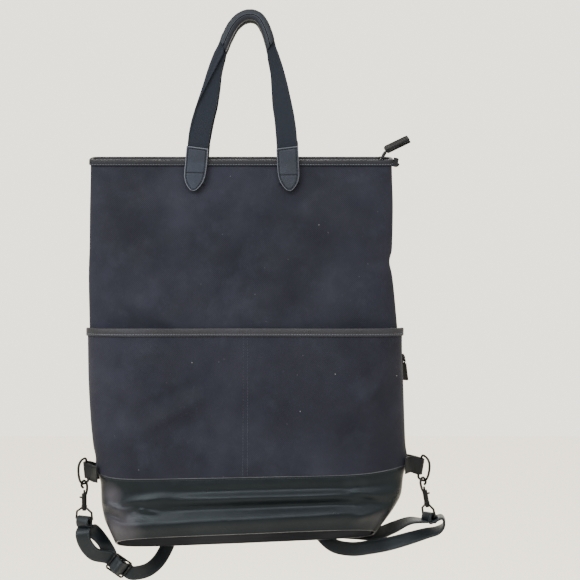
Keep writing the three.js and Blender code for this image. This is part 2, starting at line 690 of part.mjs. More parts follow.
// The hook's frame: Z up its barrel, X across its loop, its origin at the barrel's foot.
function hookFrame(fitting) {
  const line = new THREE.CatmullRomCurve3(ringLine(fitting), true, "centripetal");
  const lowest = line.getPoints(200).reduce((a, b) => (b.z < a.z ? b : a));
  const lean = degrees(fitting.lean) * fitting.out;
  const up = vector(-Math.sin(lean), 0, Math.cos(lean));
  const along = vector(Math.cos(degrees(fitting.turn)) * fitting.out, -Math.sin(degrees(fitting.turn)), 0);
  const across = along.clone().cross(up).multiplyScalar(fitting.out);
  const seat = hookLoopTop - hookWire - ringWire - 1.8 * clearance;
  return frameOf(lowest.clone().addScaledVector(up, -seat), across.x * fitting.out > 0 ? across : across.negate(), up);
}

function hookShape() {
  const barrel = cut(
    post(hookBodyRadius, 0, hookBodyLength),
    post(boltRadius + clearance, 0.9, hookBodyLength + 1),
    block(hookBodyRadius + 1, 2 * (knobRadius + clearance), boltTravel + 2 * (knobRadius + clearance),
      (hookBodyRadius + 1) / 2, 0, 8.2 - boltTravel / 2),
  );
  const half = hookLoopWidth / 2;
  const line = new THREE.CatmullRomCurve3([
    vector(-2, 0, 11.4), vector(-3.3, 0, 14.8), vector(-half, 0, 19.5), vector(-half * 0.93, 0, 23.4),
    vector(-half * 0.55, 0, 26.4), vector(0, 0, hookLoopTop), vector(half * 0.55, 0, 26.4),
    vector(half * 0.93, 0, 23.4), vector(half * 0.82, 0, 20.6), vector(0.9, 0, 19),
  ], false, "centripetal");
  const hook = wire(line.getPoints(13), hookWire, vector(0, 1, 0), false, 6);
  const stem = post(1.3, -collarLength - 2 * clearance - 0.4, 0.5, 12);
  const head = post(2.3, -collarLength - 2 * clearance - 1.3, -collarLength - 2 * clearance, 12);
  const bore = post(boltRadius + clearance, 10, hookBodyLength + 4.5);
  return joined(barrel, cut(hook, bore), stem, head);
}

function boltShape() {
  const knob = new THREE.CylinderGeometry(knobRadius, knobRadius, knobReach, 10)
    .rotateZ(Math.PI / 2)
    .translate(knobReach / 2, 0, 8.2);
  return joined(post(boltRadius, 5.7, 17.1, 12), knob);
}

// The eye hangs under the barrel; its origin is the barrel's foot. The strap's bar lies along local X.
function eyeShape() {
  const top = -clearance - collarLength;
  const low = top - eyeWindow - eyeWire;
  const half = eyeInside / 2 + eyeWire;
  const collar = cut(post(collarRadius, top, -clearance), post(1.6, top - 1, 1, 12));
  const frame = wire([
    vector(-collarRadius, 0, top + 1.2), vector(-half * 0.92, 0, top - eyeWindow * 0.3), vector(-half, 0, low + 1.2),
    vector(-half * 0.9, 0, low), vector(half * 0.9, 0, low), vector(half, 0, low + 1.2),
    vector(half * 0.92, 0, top - eyeWindow * 0.3), vector(collarRadius, 0, top + 1.2),
  ], eyeWire, vector(0, 1, 0));
  return cut(joined(collar, frame), post(1.6, top - 1, 1, 12), post(2.6, top - 1.8, top + 0.001, 12));
}

// The tab folds round the ring's straight bar, its two feet on the bag's side.
function ringTab(fitting) {
  const { bar, barWay } = ringFrame(fitting);
  const at = (-bar.z - handleDrop) / bagHeight;
  const wrap = ringWire + clearance + 1.5;
  const away = vector(fitting.out, 0, 0).addScaledVector(barWay, -fitting.out * barWay.x).normalize();
  const span = away.clone().cross(barWay).normalize();
  const round = [1, 0.5, 0, -0.5, -1].map((k) => {
    const angle = (k * Math.PI) / 2;
    return bar.clone().addScaledVector(away, wrap * Math.cos(angle)).addScaledVector(span, wrap * Math.sin(angle));
  });
  const frontFirst = round[0].y < round[4].y ? round : round.reverse();
  const foot = (side, turn) => {
    const angle = fitting.out < 0 ? Math.PI - side * turn : side * turn;
    return bagPoint((angle + tau) % tau, at, -tabFootOutset - (side < 0 ? clearance + canvasWall : 0));
  };
  const points = [foot(-1, 0.32), foot(-1, 0.1), ...frontFirst, foot(1, 0.1), foot(1, 0.32)];
  const tipOf = (i) => (i > 1 && i < 7 ? barWay : vector(0, 0, 1));
  const rows = points.map((point, i) => {
    const way = tipOf(i);
    return {
      point,
      lean: THREE.MathUtils.radToDeg(Math.atan2(way.z, way.x)),
      tip: THREE.MathUtils.radToDeg(Math.asin(way.y)),
    };
  });
  return strip(route(rows, 3), ringTabWidth, ringTabWall);
}

// A strap's run outside the slide, from the layer fixed on the slide, through the eye, to the slide again and up the back.
// x, y, z: place from the middle of the ring's bar. lean, tip: the width's angles from level and from the front.
const strapRuns = {
  left: {
    slide: { x: 35.5, y: 4, z: -110.5, along: vector(0.78, 0.14, -0.6), lean: 52 },
    fixed: [
      { x: 23, y: 9.2, z: -96.5, lean: 46, tip: 22 },
      { x: 16, y: 6, z: -82, lean: 28, tip: 50 },
      { x: 6.5, y: 1, z: -70, lean: 12, tip: 30 },
    ],
    moving: [
      { x: -3, y: -11, z: -70, lean: 2, tip: 0 },
      { x: 0, y: -8.5, z: -83, lean: 22, tip: 0 },
      { x: 9, y: -2, z: -96, lean: 40, tip: 0 },
    ],
    rising: [
      { x: 50.5, y: 9, z: -120.5, lean: 82, tip: 0 },
      { x: 65.1, y: 23, z: -121, lean: 110, tip: 0 },
      { x: 75.5, y: 36, z: -115, lean: 136, tip: 0 },
      { x: 83.5, y: 46, z: -103, lean: 153, tip: 0 },
      { x: 89.5, y: 49.5, z: -87, lean: 166, tip: 0 },
    ],
    back: [{ x: -88, at: 0.9 }, { x: -72, at: 0.7 }, { x: -52, at: 0.45 }, { x: -35, at: 0.25 }, { x: -29, at: 0.14 }, { x: -28, at: 0.075 }],
    flat: 180,
  },
  right: {
    slide: { x: -132.5, y: 51, z: -54, along: vector(-0.55, 0, 0.83), lean: 34 },
    fixed: [
      { x: -114.5, y: 44.4, z: -76, lean: 48, tip: 0 },
      { x: -94.5, y: 45, z: -84, lean: 72, tip: 8 },
      { x: -70.5, y: 40, z: -85.5, lean: 88, tip: 25 },
      { x: -47, y: 27, z: -83.4, lean: 100, tip: 45 },
      { x: -29.2, y: 11, z: -72.6, lean: 110, tip: 58 },
      { x: -10.5, y: -1, z: -62, lean: 112, tip: 78 },
    ],
    moving: [
      { x: 24, y: -7, z: -56.5, lean: 50, tip: 84 },
      { x: 26.5, y: -7, z: -64, lean: 20, tip: 80 },
      { x: 19.5, y: -7, z: -71.2, lean: 105, tip: 74 },
      { x: 5.9, y: -6, z: -75.2, lean: 100, tip: 60 },
      { x: -12, y: -4, z: -81, lean: 100, tip: 48 },
      { x: -34, y: 1, z: -88.5, lean: 98, tip: 38 },
      { x: -54.5, y: 13, z: -95.5, lean: 96, tip: 26 },
      { x: -76.5, y: 27, z: -101.5, lean: 88, tip: 16 },
      { x: -97.5, y: 42, z: -100.5, lean: 68, tip: 8 },
      { x: -112.5, y: 51, z: -88, lean: 45, tip: 0 },
    ],
    rising: [{ x: -146.5, y: 51, z: -30, lean: 30, tip: 0 }],
    back: [{ x: 34, at: 0.78 }, { x: 20, at: 0.55 }, { x: 10, at: 0.35 }, { x: 6.5, at: 0.2 }, { x: 6, at: 0.075 }],
    flat: 12,
  },
};
const strapOffBack = clearance + strapThickness / 2 + 1.3;

const barOf = (name) => fittings.find((entry) => entry.name === name).bar;

function slideFrame(name) {
  const { slide } = strapRuns[name];
  const way = slide.along.clone().normalize();
  const wide = vector(Math.cos(degrees(slide.lean)), 0, Math.sin(degrees(slide.lean)));
  wide.addScaledVector(way, -wide.dot(way)).normalize();
  return { origin: vector(slide.x, slide.y, slide.z).add(barOf(name)), way, wide };
}

function strapRows(name) {
  const run = strapRuns[name];
  const { origin, way, wide } = slideFrame(name);
  const out = wide.clone().cross(way);
  if ((name === "left") === out.y > 0) out.negate();
  const lean = THREE.MathUtils.radToDeg(Math.atan2(wide.z, wide.x));
  const tip = THREE.MathUtils.radToDeg(Math.asin(wide.y));
  const near = (along, off) => ({
    point: origin.clone().addScaledVector(way, along).addScaledVector(out, off), lean, tip, steps: 3,
  });
  const pitch = slideWindow + 2 * slideWire;
  const round = slideWire + clearance + strapThickness / 2 + 0.6;
  const turn = [near(-round * 0.9, round * 0.55), near(0, round), near(round, 0), near(0, -round)];
  const fixedIn = near(-pitch, -round - strapThickness - clearance);
  const through = [
    near(-pitch - 4, -round * 0.95), near(-pitch, -round - 0.1), near(-pitch * 0.55, 1.3),
    near(0, round + strapThickness + clearance), near(pitch * 0.55, 1.3), near(pitch, -round - 0.1),
    near(pitch + 4, -round * 0.8),
  ];
  const plain = (rows, each = 2) =>
    rows.map(({ x, y, z, ...angles }) => ({ point: vector(x, y, z).add(barOf(name)), ...angles, steps: each }));
  const fitting = fittings.find((entry) => entry.name === name);
  const eye = hookFrame(fitting).multiply(new THREE.Matrix4().makeRotationZ(degrees(fitting.eyeTurn)));
  const barAt = -clearance - collarLength - eyeWindow - eyeWire;
  const loop = eyeWire + clearance + strapThickness / 2 + 0.7;
  const side = name === "left" ? 1 : -1;
  const bar = vector(1, 0, 0).transformDirection(eye);
  if ((name === "left" ? bar.x : bar.y) < 0) bar.negate();
  const barLean = THREE.MathUtils.radToDeg(Math.atan2(bar.z, bar.x));
  const barTip = THREE.MathUtils.radToDeg(Math.asin(bar.y));
  const overBar = [[-side, -1.4], [-side * 1.05, 0.1], [0, 1], [side * 1.05, 0.1], [side, -1.4]].map(([y, z]) => ({
    point: vector(0, -y * loop, barAt + z * loop).applyMatrix4(eye), lean: barLean, tip: barTip, steps: 4,
  }));
  const back = steps(0, run.back.length - 1, 2 * (run.back.length - 1)).map((t) => {
    const [low, high] = [run.back[Math.floor(t)], run.back[Math.ceil(t)]];
    const [x, at] = [(low.x + high.x) / 2, (low.at + high.at) / 2];
    return { point: onFace(1, x, at * bagHeight, strapOffBack), lean: run.flat, tip: 0, steps: 1 };
  });
  return [...turn, fixedIn, ...plain(run.fixed), ...overBar, ...plain(run.moving, 1), ...through, ...plain(run.rising, 1), ...back];
}

const strapShape = (name) => strip(route(strapRows(name), 2), strapWidth, strapThickness);

function slideShape(name) {
  const { origin, way, wide } = slideFrame(name);
  const normal = wide.clone().cross(way).normalize();
  const half = slideInside / 2 + slideWire;
  const pitch = slideWindow + 2 * slideWire;
  const at = (x, y) => origin.clone().addScaledVector(wide, x).addScaledVector(way, y);
  const frame = wire([
    at(-half + 1, -pitch), at(half - 1, -pitch), at(half, -pitch + 1), at(half, pitch - 1), at(half - 1, pitch),
    at(-half + 1, pitch), at(-half, pitch - 1), at(-half, -pitch + 1),
  ], slideWire, normal, true);
  return joined(frame, wire([at(-half, 0), at(half, 0)], slideWire, normal));
}

function strapPatch() {
  const rows = steps(0, 1, 5);
  const columns = steps(-1, 1, 12);
  const face = (outset) => rows.map((t) => columns.map((s) => {
    const room = Math.min(1, 6 * (1 - Math.abs(s))) * Math.min(1, 7 * t);
    const drop = 0.052 * bagHeight + t * patchHeight;
    return onFace(1, bagShift + (s * patchWidth) / 2, drop, 0.4 + room * (strapThickness + 1.9) + outset);
  }));
  return shell(face(patchWall), face(0));
}

add("canvas_body", canvasBody(), canvas);
add("leather_base", leatherBase(), leather);
add("base_panel", basePanel(), leather);
add("front_pocket", frontPocket(), canvas);
add("mouth_binding", mouthBinding(), leather);
add("pocket_binding", pocketBinding(), leather);

add("handle_front", handleWebbing(-1), webbing);
add("handle_back", handleWebbing(1), webbing);
add("grip_front", handleGrip(-1), leather);
add("grip_back", handleGrip(1), leather);
for (const [side, face] of [[-1, "front"], [1, "back"]])
  for (const foot of handleFeet)
    add(`handle_tab_${face}_${foot.name}`, handleTab(side, foot), leather);
add("top_zip", topZip(), zipTape);
add("top_zip_slider", sliderBody(zipChainHeight + zipTapeThickness + 3 * clearance), metal, topSliderFrame);
add("top_zip_link", zipLink(), metal, linkMatrix);
add("top_zip_pull", foldedPull(pullLength, pullWidth), leather, pullMatrix);
add("side_zip", sideZip(), zipTape);
add("side_zip_slider", sliderBody(0), metal, sideFrame);
add("side_zip_pull", sidePull(), metal, sidePullMatrix);
for (const fitting of fittings) {
  const hook = hookFrame(fitting);
  const eye = new THREE.Matrix4().makeRotationZ(degrees(fitting.eyeTurn));
  add(`ring_tab_${fitting.name}`, ringTab(fitting), leather);
  add(`ring_${fitting.name}`, ringWireShape(fitting), metal);
  add(`hook_${fitting.name}`, hookShape(), metal, hook);
  add(`bolt_${fitting.name}`, boltShape(), metal, hook);
  add(`eye_${fitting.name}`, eyeShape(), metal, hook.clone().multiply(eye));
}
for (const name of ["left", "right"]) {
  add(`strap_${name}`, strapShape(name), leather);
  add(`slide_${name}`, slideShape(name), metal);
}
add("strap_patch", strapPatch(), leather);

export default bag;
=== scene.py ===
import math

import bmesh
import bpy
import numpy as np
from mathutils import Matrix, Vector


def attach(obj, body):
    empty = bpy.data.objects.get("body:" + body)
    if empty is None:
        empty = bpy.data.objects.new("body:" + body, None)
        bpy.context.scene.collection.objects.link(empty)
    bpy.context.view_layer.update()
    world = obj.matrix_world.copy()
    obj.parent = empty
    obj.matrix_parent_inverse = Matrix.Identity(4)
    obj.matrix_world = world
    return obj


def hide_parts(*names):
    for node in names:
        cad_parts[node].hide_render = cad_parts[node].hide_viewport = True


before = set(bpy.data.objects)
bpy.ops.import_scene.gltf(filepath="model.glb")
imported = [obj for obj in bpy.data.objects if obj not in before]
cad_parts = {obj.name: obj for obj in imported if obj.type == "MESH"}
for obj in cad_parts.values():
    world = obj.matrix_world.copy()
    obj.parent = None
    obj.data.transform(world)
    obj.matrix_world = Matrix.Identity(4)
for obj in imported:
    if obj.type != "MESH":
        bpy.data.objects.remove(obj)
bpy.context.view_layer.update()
rng = np.random.default_rng(7)

# Sizes of the bag
BAG_W, BAG_H, BAG_D = 343, 432, 72
DROP, SHIFT, SEAM = 157, -11, 0.827
CANVAS, LEATHER, GAP = 1.6, 1.8, 0.3
POCKET_AT, STAND_OFF, FLARE = 0.446, 9, 3.4
POCKET_BAND, MOUTH_BAND, BAND_WALL = 7.5, 4.9, 1.2
HALF = BAG_W / 2
TAU = 2 * math.pi

# Threads: length and width of a stitch, how far it stands out, and pitch
BAND_THREAD = (2.3, 0.7), 0.22, 3.0
BASE_THREAD = (2.4, 0.7), 0.22, 3.1
CENTRE_THREAD = (2.5, 0.75), 0.25, 3.2
TAB_THREAD = (2.1, 0.7), 0.2, 2.8
PATCH_THREAD = (2.0, 0.6), 0.2, 2.9
STRAP_THREAD = (1.9, 0.5), 0.2, 2.9
PULL_THREAD = (2.0, 0.6), 0.18, 2.8

# at, left, right, front, back, power, corner, pitch, roll
SECTIONS = np.array([
    (0, 1, 1, 0.111, 0.111, 80, 0.5, 0.37, 0),
    (0.05, 1.002, 1.003, 0.135, 0.12, 16, 0.5, 0.16, 0),
    (0.122, 1.006, 1.008, 0.17, 0.14, 9, 0.5, 0, 0),
    (0.236, 1.009, 1.002, 0.205, 0.17, 6.5, 0.47, 0, 0),
    (0.268, 1.012, 0.985, 0.212, 0.175, 6.2, 0.46, 0, 0),
    (0.305, 1.014, 1.003, 0.222, 0.185, 5.8, 0.45, 0, 0),
    (0.434, 1.008, 1.035, 0.26, 0.215, 5.2, 0.44, 0, 0),
    (0.561, 1.003, 1.061, 0.3, 0.25, 5, 0.43, 0, 0),
    (0.677, 0.988, 1.071, 0.36, 0.31, 4.8, 0.42, 0, 0),
    (0.746, 0.97, 1.077, 0.4, 0.35, 4.6, 0.41, 0, 0.008),
    (0.792, 0.952, 1.088, 0.435, 0.39, 4.5, 0.4, -0.02, 0.014),
    (0.827, 0.952, 1.098, 0.455, 0.42, 4.4, 0.4, -0.05, 0.02),
    (0.858, 0.93, 1.075, 0.47, 0.45, 4.3, 0.39, -0.1, 0.024),
    (0.893, 0.925, 1.062, 0.485, 0.475, 4.2, 0.38, -0.18, 0.03),
    (0.934, 0.905, 1.012, 0.49, 0.49, 4.2, 0.37, -0.28, 0.036),
    (0.965, 0.872, 0.958, 0.485, 0.495, 4.5, 0.35, -0.35, 0.04),
    (1, 0.832, 0.89, 0.465, 0.49, 5, 0.33, -0.4, 0.042),
])
COLUMNS = ["at", "left", "right", "front", "back", "power", "corner", "pitch", "roll"]

# across, at, long, wide, turn, rise
FOLDS = [
    (0.26, 0.868, 0.84, 0.036, 0, -0.034),
    (0.34, 0.892, 0.76, 0.046, 0, 0.04),
    (-0.62, 0.893, 0.2, 0.04, 16, 0.026),
    (0.15, 0.919, 0.82, 0.042, 0, -0.05),
    (0.05, 0.965, 1, 0.056, 1, 0.07),
    (-0.76, 0.962, 0.17, 0.07, -14, 0.05),
    (0.86, 0.955, 0.13, 0.035, 22, 0.05),
    (-0.86, 0.925, 0.12, 0.02, -26, -0.07),
    (-0.84, 0.905, 0.1, 0.024, -22, 0.045),
    (-0.7, 0.903, 0.07, 0.018, 10, -0.022),
    (-0.6, 0.921, 0.08, 0.018, -14, 0.02),
    (-0.66, 0.912, 0.05, 0.016, 32, -0.018),
    (0.78, 0.9, 0.12, 0.03, -24, -0.03),
    (-0.42, 0.66, 0.24, 0.05, 28, 0.042),
    (-0.46, 0.615, 0.22, 0.045, 26, -0.026),
    (-0.82, 0.68, 0.14, 0.05, 62, -0.034),
    (-0.78, 0.36, 0.16, 0.035, -58, 0.03),
    (-0.5, 0.42, 0.22, 0.06, -30, 0.022),
    (0.84, 0.62, 0.12, 0.04, 40, 0.03),
    (0.8, 0.74, 0.14, 0.045, -34, -0.03),
    (0.55, 0.18, 0.3, 0.07, -18, 0.02),
    (0.93, 0.268, 0.12, 0.03, 12, -0.03),
]


def smooth(table, column, at):
    """Monotone cubic through a column of the table, as in the solid part."""
    xs, ys = table[:, 0], table[:, COLUMNS.index(column)]
    at = np.asarray(at, float)
    h = np.diff(xs)
    d = np.diff(ys) / h
    m = np.zeros_like(ys)
    m[0], m[-1] = d[0], d[-1]
    same = d[:-1] * d[1:] > 0
    m[1:-1][same] = 2 * d[:-1][same] * d[1:][same] / (d[:-1] + d[1:])[same]
    i = np.clip(np.searchsorted(xs, at, side="left") - 1, 0, len(xs) - 2)
    t = np.clip((at - xs[i]) / h[i], 0, 1)
    rise = t * t * (3 - 2 * t)
    return ys[i] * (1 - rise) + ys[i + 1] * rise + h[i] * (m[i] * t * (1 - t) ** 2 - m[i + 1] * t * t * (1 - t))


def fold_at(x, at):
    """The height of all the folds at a point of the front."""
    rise = np.zeros(np.broadcast(x, at).shape)
    for across, level, long, wide, turn, height in FOLDS:
        a = (x - SHIFT) / HALF - across
        b = (level - at) * BAG_H / HALF
        c, s = math.cos(math.radians(turn)), math.sin(math.radians(turn))
        along, off = a * c + b * s, b * c - a * s
        rise = rise + height * np.exp(-((along / long) ** 4) - (off / wide) ** 2)
    return rise * BAG_D


# Slack cloth: the longest wave, how fast the waves shorten, and length over height
WAVE_LONGEST, WAVE_FALL, WAVE_FLAT = 190, 0.42, 260
WAVES = [(rng.uniform(0, TAU), rng.uniform(-1, 1), rng.uniform(-1, 1), k) for k in range(14)]


def slack(x, at, back):
    """Shallow waves of cloth that isn't stretched, in millimetres, the same for every layer."""
    z = at * BAG_H
    total = 0
    for phase, a, b, k in WAVES:
        pitch = WAVE_LONGEST / (1 + WAVE_FALL * k)
        norm = math.hypot(a, b) + 1e-6
        total = total + np.sin(TAU * (a * x + b * z) / norm / pitch + phase + back * 2.1) * pitch / WAVE_FLAT
    fade = np.clip((at - 0.03) / 0.12, 0, 1)
    low = np.clip((at - 0.82) / 0.05, 0, 1)
    return total * fade * (0.75 - 0.35 * low)


def bag_point(angle, at, inset=0.0, lift=0.0):
    """Points of the bag's surface. The angle is 0 at the right edge, pi at the left and over pi on the front."""
    angle, at = np.broadcast_arrays(np.asarray(angle, float), np.asarray(at, float))
    of = {c: smooth(SECTIONS, c, at) for c in COLUMNS[1:]}
    across = np.cos(angle)
    front = np.sin(angle) < -1e-9
    left = SHIFT - of["left"] * HALF + inset
    right = SHIFT + of["right"] * HALF - inset
    x = (left + right) / 2 + across * (right - left) / 2
    fill = np.maximum(0, 1 - np.abs(across) ** of["power"]) ** of["corner"]
    depth = np.where(front, of["front"], of["back"]) * BAG_D - inset
    soft = np.minimum(1, 2 * fill)
    fold = np.where(front, fold_at(x, at), 0) * soft + slack(x, at, np.where(front, 0, 1)) * soft
    y = np.where(front, -1, 1) * (depth + fold) * fill
    z = -DROP - at * BAG_H + of["pitch"] * y + of["roll"] * (x - SHIFT) + lift
    return np.stack([x, y, z], -1)


# How far from the seam the walls are pulled up, and the lift and its power at the left and the right end
PULL_REACH, PULL_LEFT, PULL_RIGHT = 0.045, (0.019, 14), (0.022, 6)


def cloth_point(angle, at, inset=0.0):
    """A point of the walls, which are pulled up near the seam above the base, most at its ends."""
    across = np.cos(angle)
    near = np.exp(-((np.asarray(at) - SEAM) / PULL_REACH) ** 2)
    left, right = (rise * across ** power for rise, power in (PULL_LEFT, PULL_RIGHT))
    return bag_point(angle, at, inset, near * BAG_H * np.where(across < 0, left, right))


def angle_at(side, x, at, outset=0.0):
    """The angle of the front (-1) or back (1) at x."""
    left = SHIFT - smooth(SECTIONS, "left", at) * HALF - outset
    right = SHIFT + smooth(SECTIONS, "right", at) * HALF + outset
    angle = np.arccos(np.clip((2 * x - left - right) / (right - left), -1, 1))
    return TAU - angle if side < 0 else angle


def on_face(side, x, drop, outset):
    """The point of the front (-1) or back (1) at x, `drop` below the mouth."""
    x, drop = np.broadcast_arrays(np.asarray(x, float), np.asarray(drop, float))
    at = np.maximum(0, drop / BAG_H)
    return bag_point(angle_at(side, x, at, outset), at, -outset, np.maximum(0, -drop))


# Meshes
def loft(name, rows, ring=False, sharp=0.75):
    """A closed surface through closed rows of points. It joins the last row to the first, or caps both ends."""
    rows = np.asarray(rows, float)
    count, n = rows.shape[:2]
    verts = rows.reshape(-1, 3) / 1000
    faces, uvs = [], []
    step_u = np.linalg.norm(np.roll(rows[0], -1, 0) - rows[0], axis=1)
    us = np.concatenate([[0], np.cumsum(step_u)]) / 1000
    step_v = np.linalg.norm(rows[1:, 0] - rows[:-1, 0], axis=1)
    vs = np.concatenate([[0], np.cumsum(step_v), [0]]) / 1000
    vs[-1] = vs[-2] + 0.001
    for i in range(count if ring else count - 1):
        k = (i + 1) % count
        for j in range(n):
            l = (j + 1) % n
            faces.append((i * n + j, k * n + j, k * n + l, i * n + l))
            uvs.append(((us[j], vs[i]), (us[j], vs[i + 1]), (us[j + 1], vs[i + 1]), (us[j + 1], vs[i])))
    if not ring:
        for base, v in ((0, vs[0]), ((count - 1) * n, vs[count - 1])):
            for j in range(n // 2):
                a, b, c, d = j, (j + 1) % n, n - 2 - j, n - 1 - j
                face = [base + q for q in dict.fromkeys((a, b, c, d))]
                if len(face) >= 3 and c >= b:
                    faces.append(tuple(face))
                    uvs.append(tuple((us[q - base], v) for q in face))
    mesh = bpy.data.meshes.new(name)
    mesh.from_pydata([tuple(v) for v in verts], [], faces)
    layer = mesh.uv_layers.new(name="flat")
    layer.data.foreach_set("uv", np.array([c for f in uvs for c in f], float).ravel())
    return finish_mesh(name, mesh, sharp)


def finish_mesh(name, mesh, sharp=0.75):
    """An object of the mesh, smooth but for its sharp edges."""
    bm = bmesh.new()
    bm.from_mesh(mesh)
    bmesh.ops.recalc_face_normals(bm, faces=bm.faces)
    for face in bm.faces:
        face.smooth = True
    for edge in bm.edges:
        if len(edge.link_faces) == 2 and edge.calc_face_angle(0) > sharp:
            edge.smooth = False
    bm.to_mesh(mesh)
    bm.free()
    return linked(name, mesh)


def linked(name, data):
    obj = bpy.data.objects.new(name, data)
    bpy.context.scene.collection.objects.link(obj)
    return obj


def close_rows(bm, rows):
    """Faces between rows of vertices, and over both ends."""
    n = len(rows[0])
    for a, b in zip(rows[:-1], rows[1:]):
        for j in range(n):
            bm.faces.new((a[j], b[j], b[(j + 1) % n], a[(j + 1) % n]))
    bm.faces.new(rows[0])
    bm.faces.new(list(reversed(rows[-1])))


def from_bmesh(name, bm, sharp):
    mesh = bpy.data.meshes.new(name)
    bm.to_mesh(mesh)
    bm.free()
    return finish_mesh(name, mesh, sharp)


def catmull(points, places):
    """Centripetal Catmull-Rom through points, at knot places 0 to n - 1."""
    p = np.asarray(points, float)
    out = np.zeros((len(places), p.shape[1]))
    for row, place in enumerate(places):
        i = min(int(place), len(p) - 2)
        t = place - i
        p1, p2 = p[i], p[i + 1]
        p0 = p[i - 1] if i else 2 * p[0] - p[1]
        p3 = p[i + 2] if i + 2 < len(p) else 2 * p[-1] - p[-2]
        d0, d1, d2 = (np.dot(b - a, b - a) ** 0.25 for a, b in ((p0, p1), (p1, p2), (p2, p3)))
        d1 = d1 if d1 > 1e-4 else 1
        d0 = d0 if d0 > 1e-4 else d1
        d2 = d2 if d2 > 1e-4 else d1
        t1 = ((p1 - p0) / d0 - (p2 - p0) / (d0 + d1) + (p2 - p1) / d1) * d1
        t2 = ((p2 - p1) / d1 - (p3 - p1) / (d1 + d2) + (p3 - p2) / d2) * d1
        out[row] = p1 + t1 * t + (-3 * p1 + 3 * p2 - 2 * t1 - t2) * t * t + (2 * p1 - 2 * p2 + t1 + t2) * t ** 3
    return out


def unit(v):
    return v / np.maximum(np.linalg.norm(v, axis=-1, keepdims=True), 1e-9)


def route(points, widths, each):
    """Places, width and outward directions along a route, `each` steps to a row."""
    places = np.linspace(0, len(points) - 1, (len(points) - 1) * each + 1)
    here = catmull(points, places)
    ahead = catmull(points, np.minimum(places + 0.01, len(points) - 1))
    behind = catmull(points, np.maximum(places - 0.01, 0))
    along = unit(ahead - behind)
    wide = catmull(widths, places)
    wide = unit(wide - along * np.sum(wide * along, -1, keepdims=True))
    return places, here, along, wide, np.cross(along, wide)


def angles_to_width(lean, tip):
    """A strip's width direction from its lean in the XZ plane and its tip towards +Y, in degrees."""
    lean, tip = math.radians(lean), math.radians(tip)
    return (math.cos(lean) * math.cos(tip), math.sin(tip), math.sin(lean) * math.cos(tip))


def rounded(width, thick, radius, dip_at=None, dip=0.0):
    """A rounded rectangle's outline, with an optional groove near both edges on both faces."""
    w, t = width / 2, thick / 2
    r = min(radius, t * 0.98)
    face = [(-w + r, t)]
    inner = [-0.5, 0, 0.5]
    if dip_at:
        g = w - dip_at
        for s in (-1, 1):
            inner += [s * (g + 0.7) / w, s * g / w, s * (g - 0.7) / w]
    for share in sorted(inner):
        a = share * w
        low = dip if dip_at and abs(abs(a) - (w - dip_at)) < 0.1 else 0
        face.append((a, t - low))
    face.append((w - r, t))
    corner = [(w - r + r * math.sin(q), t - r + r * math.cos(q)) for q in np.linspace(0, math.pi / 2, 4)[1:]]
    side = corner + [(a, -b) for a, b in reversed(corner)]
    under = [(a, -b) for a, b in reversed(face)]
    other = [(-a, b) for a, b in reversed(side)]
    return np.array(face + side + under + other)


def ribbon(name, stations, profile):
    """A tube whose section is profile(i), a list of (across, out)."""
    _, here, _, wide, out = stations
    rows = []
    for i in range(len(here)):
        p = profile(i) if callable(profile) else profile
        rows.append(here[i] + p[:, :1] * wide[i] + p[:, 1:2] * out[i])
    return loft(name, rows)


def wire(name, points, radius, ring=False, sides=14):
    """A round wire through points."""
    p = np.asarray(points, float)
    ahead = np.roll(p, -1, 0) if ring else np.vstack([p[1:], 2 * p[-1:] - p[-2:-1]])
    behind = np.roll(p, 1, 0) if ring else np.vstack([2 * p[:1] - p[1:2], p[:-1]])
    along = unit(ahead - behind)
    rows, up = [], np.array([0.31, 0.83, 0.46])
    for i in range(len(p)):
        up = unit(up - along[i] * np.dot(up, along[i]))
        other = np.cross(along[i], up)
        q = np.linspace(0, TAU, sides, endpoint=False)
        rows.append(p[i] + radius * (np.cos(q)[:, None] * up + np.sin(q)[:, None] * other))
    return loft(name, rows, ring)


def at_length(s, line, where):
    """The row of the line at the length `where`, with its rows at the lengths s."""
    return np.array([np.interp(where, s, line[:, a]) for a in range(3)])


def stitches(name, runs, size, proud, pitch):
    """Thread along runs of (points, outward directions): small rounded lozenges, one mesh."""
    bm = bmesh.new()
    for points, outs in runs:
        p = np.asarray(points, float)
        o = unit(np.asarray(outs, float))
        s = np.concatenate([[0], np.cumsum(np.linalg.norm(np.diff(p, axis=0), axis=1))])
        n = max(1, int(s[-1] / pitch))
        for k in range(n):
            mid = (k + 0.5) * s[-1] / n
            c, out = at_length(s, p, mid), unit(at_length(s, o, mid))
            along = unit(at_length(s, p, mid + 0.4) - at_length(s, p, mid - 0.4))
            side = np.cross(out, along)
            half_l, half_w = size[0] / 2, size[1] / 2
            rows = []
            for u, grow in ((-1, 0.35), (-0.72, 0.9), (0, 1), (0.72, 0.9), (1, 0.35)):
                centre = c + along * u * half_l + out * (proud * (1 - 0.9 * u * u) - 0.12)
                loop = [centre + half_w * grow * (side * math.cos(q) + out * 0.8 * math.sin(q))
                        for q in (0, 1.05, 2.1, 3.14, 4.19, 5.24)]
                rows.append([bm.verts.new(corner / 1000) for corner in loop])
            close_rows(bm, rows)
    return from_bmesh(name, bm, 1.6)


# Materials
def linear(rgb):
    return tuple(((c / 255 + 0.055) / 1.055) ** 2.4 if c > 10 else c / 255 / 12.92 for c in rgb) + (1,)


